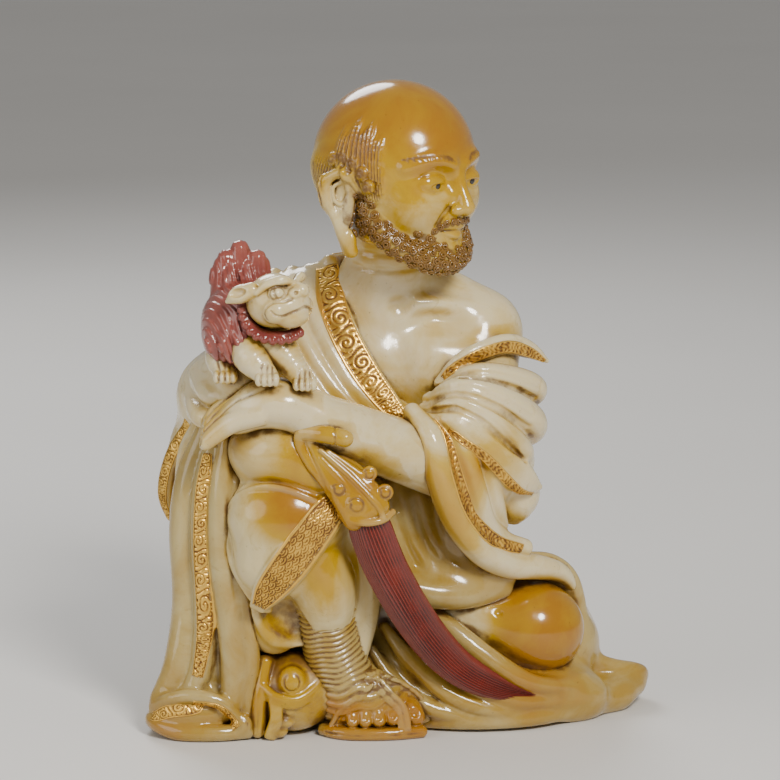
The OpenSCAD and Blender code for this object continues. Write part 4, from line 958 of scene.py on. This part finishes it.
def gilding(name):
    p = Paint(name)
    worn = p.add(p.value("relief"), p.spread(p.noise(500, 4, 0.65), 0.3, 0.75, -0.3, 0.3))
    colour = p.ramp(worn, [(0.12, (0.13, 0.05, 0.006)), (0.42, (0.46, 0.23, 0.025)), (0.8, (0.85, 0.52, 0.1))])
    metal = p.spread(worn, 0.2, 0.7, 0.2, 0.85)
    p.tree.links.new(metal, p.shader.inputs["Metallic"])
    return p.finish(colour, p.spread(worn, 0.2, 0.9, 0.55, 0.3), (p.noise(2600, 3, 0.6), 0.1, 0.0002))


def inlay(name):
    p = Paint(name)
    colour = p.ramp(p.noise(1800, 3), [(0.3, (0.008, 0.006, 0.005)), (0.75, (0.03, 0.022, 0.016))])
    return p.finish(colour, p.spread(p.noise(900), 0.3, 0.7, 0.06, 0.14), Coat_Weight=0.6)


BROWN_DIRT_AND_SHADE = (0.13, 0.055, 0.008)
# Each stone's pale, middle and deep colour, the colour of its dirt and painted shade in creases, and how far light
# sinks in
STONES = {
    "cream_stone": ((0.72, 0.61, 0.36), (0.56, 0.37, 0.06), (0.44, 0.22, 0.004), BROWN_DIRT_AND_SHADE, 0.25),
    "amber_stone": ((0.66, 0.54, 0.27), (0.46, 0.27, 0.0), (0.34, 0.145, 0.0), BROWN_DIRT_AND_SHADE, 0.1),
    "ochre_stone": ((0.5, 0.4, 0.17), (0.37, 0.23, 0.035), (0.36, 0.15, 0.002), BROWN_DIRT_AND_SHADE, 0.2),
    "beard_stone": ((0.3, 0.165, 0.03), (0.2, 0.095, 0.012), (0.12, 0.05, 0.006), (0.03, 0.011, 0.003), 0.05),
    "red_stone": ((0.24, 0.025, 0.012), (0.16, 0.012, 0.005), (0.1, 0.008, 0.004), (0.02, 0.003, 0.002), 0.05),
    "rose_stone": ((0.36, 0.11, 0.085), (0.26, 0.06, 0.045), (0.18, 0.025, 0.018), (0.07, 0.01, 0.008), 0.1),
}
stones = {name: soapstone(name, *looks) for name, looks in STONES.items()}
gilt = gilding("worn_gilt")
black_inlay = inlay("black_inlay")

# All forms first, then each is seated on its neighbours
forms = {
    "head": model_head(), "torso": model_torso(), "left_forearm": model_left_forearm(),
    "left_sleeve": model_left_sleeve(), "shoulder_robe": model_shoulder_robe(), "raised_leg": model_raised_leg(),
    "right_foot": model_right_foot(), "left_foot": model_left_foot(), "left_knee": model_left_knee(),
    "lower_robe": model_lower_robe(), "whisk_head": model_whisk_head(), "lion_coat": model_lion_coat(),
    "lion_head": model_lion_head(),
}
for number, leg in enumerate(LION_LEGS):
    forms[f"lion_leg_{number}"] = model_lion_leg(*leg)
LEGS = ["lion_leg_0", "lion_leg_1", "lion_leg_2"]
SEATS = {
    "torso": ["head", "left_forearm"],
    "left_sleeve": ["torso", "left_forearm", "left_knee"],
    "shoulder_robe": ["torso", "left_forearm", "left_sleeve", "raised_leg"],
    "raised_leg": ["torso", "left_forearm", "right_foot", "whisk_head"],
    "left_foot": ["right_foot", "raised_leg"],
    "lower_robe": ["torso", "left_sleeve", "shoulder_robe", "raised_leg", "right_foot", "left_foot", "left_knee"],
    "whisk_head": ["left_forearm"],
    "lion_coat": ["shoulder_robe", "lion_head", "left_forearm"] + LEGS,
    "lion_leg_0": ["lion_head", "left_forearm", "shoulder_robe"],
    "lion_leg_1": ["lion_head", "left_forearm", "shoulder_robe"],
    "lion_leg_2": ["left_forearm", "shoulder_robe"],
}
whole = {name: form.d.copy() for name, form in forms.items()}
for name, others in SEATS.items():
    kept = {other: forms[other].d for other in others}
    for other in others:
        forms[other].d = whole[other]
    forms[name].seat_on([forms[other] for other in others])
    for other in others:
        forms[other].d = kept[other]
seated = {name: form.d for name, form in forms.items()}


def nearness(points, out, h):
    """How closed in each point is: 0 on open ground, 1 in a narrow crease."""
    probe = points + out * h
    field = np.full(len(points), FAR)
    for name, form in forms.items():
        inside = np.all((probe > form.low) & (probe < form.high), axis=1)
        if inside.any():
            form.d = whole[name]
            field[inside] = np.minimum(field[inside], form.at(probe[inside]))
            form.d = seated[name]
    return np.clip(1 - field / h, 0, 1)


def head_tint(p):
    q = (p - SKULL) @ HEAD_WAY
    crown = 0.4 + 0.5 * ease((q[:, 2] + 8) / 16) + 0.15 * spot(q, (0, -14, -8), (5, 5, 6))
    ear = spot(q, (12.5, 1.5, -8), (3, 5, 9)) + spot(q, (-12.5, 1.5, -8), (3, 5, 9))
    nape = ease((q[:, 1] - 4) / 8) * ease((8 - q[:, 2]) / 8)
    return crown * (1 - 0.8 * np.clip(ear, 0, 1)) * (1 - 0.6 * nape)


def head_stain_and_shade(p):
    """Brown rubbed into the hair, with painted shade between its strands and on the ground under the beard curls."""
    q = (p - SKULL) @ HEAD_WAY
    rise, strand = combed_hair(*q.T)
    low, high = beard_edges(np.degrees(np.arctan2(q[:, 0], -1.5 - q[:, 1])))
    beard = ease((q[:, 2] - low) / 0.8 + 0.5) * ease((high - q[:, 2]) / 0.8 + 0.5) * (q[:, 1] < 0.5)
    return np.clip(1.2 * rise - 1.6 * strand, 0, 1) + 0.7 * beard


def leg_tint(p):
    """Cream on the outer side, yellow on the knee, amber on the dome below it, paler again under the hem."""
    below = ease((36 + 1.37 * (p[:, 0] + 12.4) - p[:, 2]) / 2)
    knee, dome = spot(p, (-12.4, -20.5, 48.4), (9, 9, 8)), spot(p, (-17.2, -23.5, 40.5), (8.6, 9, 6.6))
    calf, recess = spot(p, (-10.5, -21, 29), (6.5, 8, 8)), spot(p, (-20, -17.5, 20), (5, 5, 6))
    return 0.1 + np.maximum(0.6 * knee, 0.8 * dome) * (1 - below) + (0.38 * calf + 0.3 * recess) * below


def foot_stain(p):
    """Brown on the sole's mound, left off the strap and the big toe that stand up from it."""
    kept = (spot(p, (-17.8, -17.4, 9.8), (2.6, 2, 3)) + spot(p, (-19, -18, 6.6), (4, 1.6, 2.4))
            + spot(p, (-22.6, -15, 7), (2, 4, 9)))
    return 0.5 * (1 - np.clip(kept, 0, 1))


def shin_cord_darkening(p):
    """Darker between the turns of the cord."""
    return 0.75 * ease(-cord_turns(*p.T) * 1.4) * ease((p[:, 2] - 5) / 3)


def leg_hollow_shade(p):
    """Painted shade: brown in the hollow under the hem."""
    return 0.75 * spot(p, (-19, -16.4, 20.4), (4.4, 3.4, 5))


def plain_tint(p):
    return np.full(len(p), 0.12)


STAINS_AND_SHADE = {"head": head_stain_and_shade, "left_foot": foot_stain, "right_foot": shin_cord_darkening, "raised_leg": leg_hollow_shade}
TINTS = {
    "head": head_tint,
    "torso": lambda p: 0.08 + 0.2 * spot(p, (13, -2, 66), (8, 9, 6)),
    "left_forearm": lambda p: 0.1 + 0.3 * spot(p, (-30, -19, 54), (5, 7, 5)),
    "left_sleeve": lambda p: (0.12 + 0.42 * spot(p, (15, -12, 47), (8, 5, 7))
                              + 0.5 * ease((-p[:, 1] - 13.4) / 2.4) * ease((52 - p[:, 2]) / 8)),
    "shoulder_robe": lambda p: 0.16 + 0.14 * ease((p[:, 1] - 6) / 10) + 0.3 * spot(p, (-38, -1, 38), (4, 6, 8)),
    "raised_leg": leg_tint,
    "right_foot": lambda p: (0.36 + 0.45 * ease((-13 - p[:, 1]) / 3) * ease((9 - p[:, 2]) / 4)
                             + 0.3 * spot(p, (2, -13, 4), (4, 4, 5))),
    "left_foot": lambda p: 0.46 + 0.1 * spot(p, (-23.5, -14, 6), (2.4, 5, 9)),
    "left_knee": lambda p: 0.12 + 0.75 * ease((p[:, 0] - 12) / 7),
    "lower_robe": lambda p: (0.34 + 0.4 * spot(p, (-36, -14, 3), (9, 8, 5))
                             - 0.2 * spot(p, (-31, -14, 30), (8, 8, 22))
                             + 0.28 * spot(p, (20, -9, 8), (14, 6, 8))),
    "whisk_head": lambda p: 0.5 + 0.3 * ease((51 - p[:, 2]) / 6),
    "lion_coat": lambda p: 0.4 + 0.35 * spot(p, LION_HEAD + (0, -1, -4), (7, 5, 4)),
    "lion_head": lambda p: 0.12 + 0.1 * spot(p, LION_HEAD + (4, -5, 0), (3, 3, 3)),
}
# Stones that are not cream
SLOTS = {
    "head": "amber_stone", "raised_leg": "amber_stone", "left_foot": "amber_stone", "left_knee": "amber_stone",
    "whisk_head": "amber_stone", "right_foot": "ochre_stone", "lower_robe": "ochre_stone", "lion_coat": "rose_stone",
}
# How far from the surface a crease, a hollow and a sheltered place are felt for the painted shade, and how deep an
# edge is for the painted highlight
CREASE, HOLLOW, SHELTER, EDGE = 0.8, 2.2, 5, 0.9

for name, form in forms.items():
    points, quads = form.skin()
    obj = new_piece(f"{name}_stone", points, quads)
    out = normals_of(obj)
    slot = SLOTS.get(name, "cream_stone")
    # Painted shade: creases and hollows are darkened by how closed in they are, with the dirt of cut lines and the
    # stains added
    grime = np.maximum(nearness(points, out, HOLLOW) ** 1.5 * 0.8, nearness(points, out, CREASE) * 0.95)
    grime = np.maximum(grime, form.at(points, form.dirt_and_shade))
    if name in STAINS_AND_SHADE:
        grime = np.clip(grime + STAINS_AND_SHADE[name](points), 0, 1)
    # Painted highlight on thin edges and crests, from how thin the stone is just under each point
    edge = np.clip(1 + form.at(points - out * EDGE) / EDGE, 0, 1)
    # Painted shade: sheltered hollows get a warmer, deeper tint, more on cream stone
    shade_warmth = 0.45 if slot == "cream_stone" else 0.15
    tint_and_shade = TINTS.get(name, plain_tint)(points) + shade_warmth * nearness(points, out, SHELTER)
    set_values(obj, grime=grime, edge=edge, amber=np.clip(tint_and_shade, 0, 1))
    hand_in(obj, "lion_legs" if name in LEGS else name, slot, stones[slot])


# Curled beard, inlaid eyes, whisk hair and gilt borders

def make_beard():
    """Snail-shell curls set in rows along the jaw, with a moustache."""
    turns = np.linspace(0, 1, 20)
    angle, reach = turns * 2 * np.pi * 2.1, 0.72 * (1 - turns) + 0.1
    spiral = np.column_stack([reach * np.cos(angle), reach * np.sin(angle), 0.05 + 0.42 * turns])
    way = unit(np.gradient(spiral, axis=0))
    over = unit(np.cross(way, np.cross([0, 0, 1.0], way)))
    aside = np.cross(way, over)
    size = 0.26 - 0.09 * turns
    ring = np.linspace(0, 2 * np.pi, 6)[:-1]
    shell = np.concatenate([c + s * (np.cos(ring)[:, None] * o + np.sin(ring)[:, None] * a)
                            for c, s, o, a in zip(spiral, size, over, aside)])
    n = len(ring)
    faces = [[i * n + k, i * n + (k + 1) % n, (i + 1) * n + (k + 1) % n, (i + 1) * n + k]
             for i in range(len(turns) - 1) for k in range(n)]
    places = []
    for z in np.arange(-19.4, -4, 0.5):
        for turn in np.arange(-96, 97, 1.8):
            low, high = beard_edges(turn)
            if low <= z <= high:
                way = math.radians(turn)
                places.append((11 * math.sin(way), -1.5 - 11 * math.cos(way), z, 0.98))
    for s in (-1, 1):
        lip = spaced([(0.6, -14, -8.6), (2.2, -13.5, -8.8), (3.6, -12.7, -9.6), (4.5, -12, -11),
                      (4.4, -11.8, -13)], 0.3)
        places += [(s * x, y, z, 0.78) for x, y, z in lip]
    head = forms["head"]
    at = np.array(places)
    on, out = head.pressed(head.world(at[:, :3]), 8)
    kept = []
    for i in range(len(on)):
        if all(np.linalg.norm(on[i] - on[j]) > 1.36 * at[i, 3] for j in kept):
            kept.append(i)
    rng = np.random.default_rng(7)
    points, quads, heights = [], [], []
    for (p, n_out, scale) in zip(on[kept], out[kept], at[kept, 3]):
        side = unit(np.cross(n_out, DOWN))
        up = np.cross(n_out, side)
        a = rng.uniform(0, 2 * np.pi)
        across, along = side * math.cos(a) + up * math.sin(a), -side * math.sin(a) + up * math.cos(a)
        flip = 1 if rng.random() < 0.5 else -1
        quads += [[len(points) * len(shell) + v for v in (f if flip > 0 else f[::-1])] for f in faces]
        curl = shell[:, :1] * flip * across + shell[:, 1:2] * along + shell[:, 2:3] * n_out
        points.append(p - 0.08 * n_out + scale * curl)
        heights.append(shell[:, 2])
    points, heights = np.concatenate(points), np.concatenate(heights)
    obj = new_piece("beard_curls", points, quads)
    # Painted shade low on each curl where it meets the others, and painted highlight on its top
    set_values(obj, grime=np.clip(1.1 - heights / 0.3, 0, 1), edge=np.clip(heights / 1.2, 0, 1),
               amber=0.35 + 0.3 * rng.random(len(points)))
    hand_in(obj, "head", "amber_stone", stones["beard_stone"])


def make_pupils():
    for s in (-1, 1):
        bpy.ops.mesh.primitive_uv_sphere_add(segments=24, ring_count=14, radius=MM)
        obj = bpy.context.object
        obj.name = "pupil_left" if s > 0 else "pupil_right"
        local = np.array([v.co for v in obj.data.vertices]) / MM * (0.62, 0.3, 0.62) + (s * 4.4, -12.42, -2.6)
        obj.data.vertices.foreach_set("co", (forms["head"].world(local) * MM).astype(np.float32).ravel())
        bpy.ops.object.shade_smooth()
        hand_in(obj, "pupils", "black_inlay", black_inlay)


def make_whisk_hair():
    """One swept lock of hair, its section fluted into strands, and a fan of faces to close each end."""
    sides, strands = 240, 40
    path = spaced(np.column_stack([HAIR_PATH, HAIR_SIZE]), 0.35)
    way = unit(np.gradient(path[:, :3], axis=0))
    across = unit(np.cross(way, [0.35, -1, 0.2]))
    front = np.cross(across, way)
    a = np.linspace(0, 2 * np.pi, sides, endpoint=False)[None, :]
    s = np.linspace(0, 1, len(path))[:, None]
    wander = 0.5 * np.sin(7 * s + 2 * a) + 0.25 * np.sin(15 * s + 5 * a)
    flute = 0.5 + 0.5 * np.cos(strands * a + 2.2 * wander)
    deep = 0.5 + 0.5 * np.cos(5 * a + 1.4 + 1.5 * s)
    r = path[:, 3:4] * (0.9 + 0.1 * deep) + 0.2 * (flute - 1) * np.minimum(path[:, 3:4], 1) * 1.6
    points = path[:, None, :3] + r[..., None] * (np.cos(a)[..., None] * across[:, None] * 1.04
                                                 + np.sin(a)[..., None] * front[:, None] * 0.86)
    rows = len(path)
    index = np.arange(rows * sides).reshape(rows, sides)
    following = np.roll(index, -1, axis=1)
    sheet = np.stack([index[:-1], index[1:], following[1:], following[:-1]], axis=-1).reshape(-1, 4)
    fan = (np.arange(0, sides, 2)[:, None] + (0, 1, 2)) % sides
    root = np.insert(index[0][fan], 0, rows * sides, axis=1)
    tip = np.insert(index[-1][fan[:, ::-1]], 0, rows * sides + 1, axis=1)
    ends = np.concatenate([path[:1, :3], path[-1:, :3] + way[-1:] * 0.4])
    obj = new_piece("whisk_hair", np.concatenate([points.reshape(-1, 3), ends]), np.concatenate([sheet, root, tip]))
    # Painted shade between the strands and painted highlight on their crests
    set_values(obj, grime=np.append(0.85 * (1 - flute), [0, 0]), edge=np.append(0.8 * flute, [0, 0]),
               amber=np.append(0.35 + 0.3 * deep, [0.5, 0.5]))
    hand_in(obj, "whisk_hair", "red_stone", stones["red_stone"])


def wave_scales(u, v, half):
    """Overlapping wave scales in rows, each of a few rings."""
    size = 1.2
    height, done = np.zeros_like(u), np.zeros(u.shape, bool)
    first = np.floor((v - size) / (size / 2))
    for k in range(1, 5):
        row = first + k
        du = (u - np.where(row % 2 == 0, 0, size) + size) % (2 * size) - size
        r = np.hypot(du, v - row * size / 2)
        new = (r < size) & ~done
        height = np.where(new, 0.5 + 0.5 * np.cos(2 * np.pi * (size - r) / (size / 2.6)), height)
        done |= new
    return height


def running_scrolls(u, v, half):
    """Engraved spirals one after another, curling up and down by turns, with wavelets between them."""
    length = 1.9 * half
    cell = np.floor(u / length)
    turn = np.where(cell % 2 == 0, 1, -1)
    du, dv = u - (cell + 0.5) * length, v - turn * 0.16 * half
    r, a = np.hypot(du, dv), np.arctan2(dv, du)
    curl = np.cos(turn * a + 2 * np.pi * r / (0.4 * half))
    leaf = np.cos(2 * np.pi * (u / length * 4 + 0.35 * np.sin(3 * v / half)))
    return 1 - 0.9 * ease((np.where(r < 0.76 * half, curl, leaf) - 0.2) / 0.6)


def leafage(u, v, half):
    """Dense curling leaves."""
    bent = u + 0.5 * np.sin(2.4 * v / half + 0.9 * np.sin(u * 1.3))
    return 0.5 + 0.5 * np.cos(2 * np.pi * bent / 0.95) * np.cos(1.5 * np.pi * v / half + 0.8 * np.sin(1.9 * u))


def make_border(name, node, points, halves, pattern):
    """A gilt band pressed on to a stone, its pattern standing up from the ground between two lips."""
    ground, rise, sunk = 0.04, 0.2, 0.35
    form = forms[node]
    form.d = whole[node]
    path = spaced(np.column_stack([points, halves]), 0.16 * ROUGH)
    middle, out = form.pressed(path[:, :3], 6)
    for _ in range(6):
        middle[1:-1] = (middle[:-2] + 2 * middle[1:-1] + middle[2:]) / 4
    way = unit(np.gradient(middle, axis=0))
    side = unit(np.cross(out, way))
    along = np.concatenate([[0], np.cumsum(np.linalg.norm(np.diff(middle, axis=0), axis=1))])
    rows = max(9, int(2 * path[:, 3].max() / (0.15 * ROUGH)) | 1)
    across = np.linspace(-1, 1, rows)
    flat = (middle[:, None] + side[:, None] * (across[None, :] * path[:, 3:4])[..., None]).reshape(-1, 3)
    on, out = form.pressed(flat, 5)
    half = np.repeat(path[:, 3], rows)
    u, v = np.repeat(along, rows), np.tile(across, len(path)) * half
    inside = np.abs(v) / half
    height = pattern(u, v, half)
    height = np.where(inside > 0.8, 1.0, height * ease((0.8 - inside) * 12))
    end = ease(np.minimum(u, along[-1] - u) / 0.6)
    lift = (ground + rise * height) * end * ease((1.04 - inside) * 14) - 0.05
    top, bottom = on + out * lift[:, None], on - out * sunk
    count = len(on)
    index = np.arange(count).reshape(len(path), rows)
    face = np.stack([index[:-1, :-1], index[1:, :-1], index[1:, 1:], index[:-1, 1:]], axis=-1).reshape(-1, 4)
    rim = np.concatenate([index[0, :], index[1:, -1], index[-1, -2::-1], index[-2:0:-1, 0]])
    following = np.roll(rim, -1)
    wall = np.stack([rim, following, following + count, rim + count], axis=-1)
    quads = np.concatenate([face, face[:, ::-1] + count, wall])
    corner = np.concatenate([top, bottom])
    normal = np.cross(corner[face[:, 1]] - corner[face[:, 0]], corner[face[:, 3]] - corner[face[:, 0]])
    if (normal * out[face[:, 0]]).sum() < 0:
        quads = quads[:, ::-1]
    obj = new_piece(name, corner, quads)
    set_values(obj, relief=np.concatenate([height * end, np.zeros(count)]))
    form.d = seated[node]
    hand_in(obj, node, SLOTS.get(node, "cream_stone"), gilt)


make_beard()
make_pupils()
make_whisk_hair()
# Each border's stone, the line it follows, how far it is moved off that line, its half widths and its pattern
BORDERS = [
    ("neck_border", "shoulder_robe", NECK_BORDER, (0.4, -1, 0.4), (2.1, 2.4, 2.4, 2.3, 2, 1.2), running_scrolls),
    ("back_border", "shoulder_robe", BACK_BORDER, (0.4, 1, 0.4), (1.6, 1.8, 1.8, 1.8, 1.2), running_scrolls),
    ("lobe_border", "shoulder_robe", RIGHT_LOBE, (-1, -1, 0), (0.8, 1.2, 1.2, 0.7), running_scrolls),
    ("collar_border", "left_sleeve", SLEEVE_COLLAR, (0, -1, -0.2), (0.5, 0.95, 1.1, 1.1, 0.9, 0.3), leafage),
    ("sleeve_border", "left_sleeve", SLEEVE_LOBE[1:], (-0.6, -1.2, -1.6), (0.5, 0.8, 0.9, 0.8, 0.3), leafage),
    ("cuff_border", "left_sleeve", CUFF_BAND, (0, -1, 0), (0.7, 1.3, 1.4, 1.4, 1.3, 0.9), leafage),
    ("trouser_border", "raised_leg", HEM_BAND, (0, -1, 0), (2, 2.9, 3.1, 2.5, 1.1), wave_scales),
    ("corner_border", "lower_robe", CORNER_LIP, (0, -1, -1.8), (0.8, 1.2, 1.4, 1.2, 0.7), running_scrolls),
    ("side_border", "lower_robe", SIDE_BAND, (0, 0, 0), (0.8, 1.3, 1.4, 1.5, 1.6, 1), running_scrolls),
]
for name, node, points, shift, halves, pattern in BORDERS:
    make_border(name, node, np.array(points) + shift, halves, pattern)

# Floor, light and camera
bpy.ops.mesh.primitive_plane_add(size=6, location=(0, 0, 0))
floor = bpy.context.object
floor.name = "floor"
p = Paint("pale_floor")
pale = p.ramp(p.noise(3), [(0.3, (0.72, 0.71, 0.69)), (0.7, (0.76, 0.75, 0.73))])
floor.data.materials.append(p.finish(pale, p.spread(p.noise(8), 0.3, 0.7, 0.55, 0.65)))

world = bpy.context.scene.world or bpy.data.worlds.new("studio")
bpy.context.scene.world = world
world.use_nodes = True
world.node_tree.nodes["Background"].inputs["Color"].default_value = (0.9, 0.88, 0.85, 1)
world.node_tree.nodes["Background"].inputs["Strength"].default_value = 0.36


def lamp(name, at, aim, size, power, colour=(1, 1, 1)):
    data = bpy.data.lights.new(name, "AREA")
    data.shape, data.size, data.energy, data.color = "DISK", size, power, colour
    obj = bpy.data.objects.new(name, data)
    obj.location = at
    obj.rotation_euler = (Vector(aim) - Vector(at)).to_track_quat("-Z", "Y").to_euler()
    bpy.context.collection.objects.link(obj)


MIDDLE = (0, 0, 0.055)
lamp("key", (0.2, -0.46, 0.42), MIDDLE, 0.16, 3.8, (1, 0.96, 0.9))
lamp("fill", (-0.45, -0.3, 0.22), MIDDLE, 0.4, 0.9, (1, 0.98, 0.96))
lamp("rim", (-0.15, 0.42, 0.4), MIDDLE, 0.25, 1.4)

AIM = Vector((-1.67, 0, 55.8)) * MM
LIFT = math.radians(10)
DISTANCE = 0.65
camera = bpy.data.cameras.new("camera")
camera.lens, camera.sensor_width, camera.clip_start = 180, 36, 0.01
view = bpy.data.objects.new("camera", camera)
view.location = AIM + Vector((0, -math.cos(LIFT), math.sin(LIFT))) * DISTANCE
view.rotation_euler = (AIM - view.location).to_track_quat("-Z", "Y").to_euler()
bpy.context.collection.objects.link(view)
bpy.context.scene.camera = view
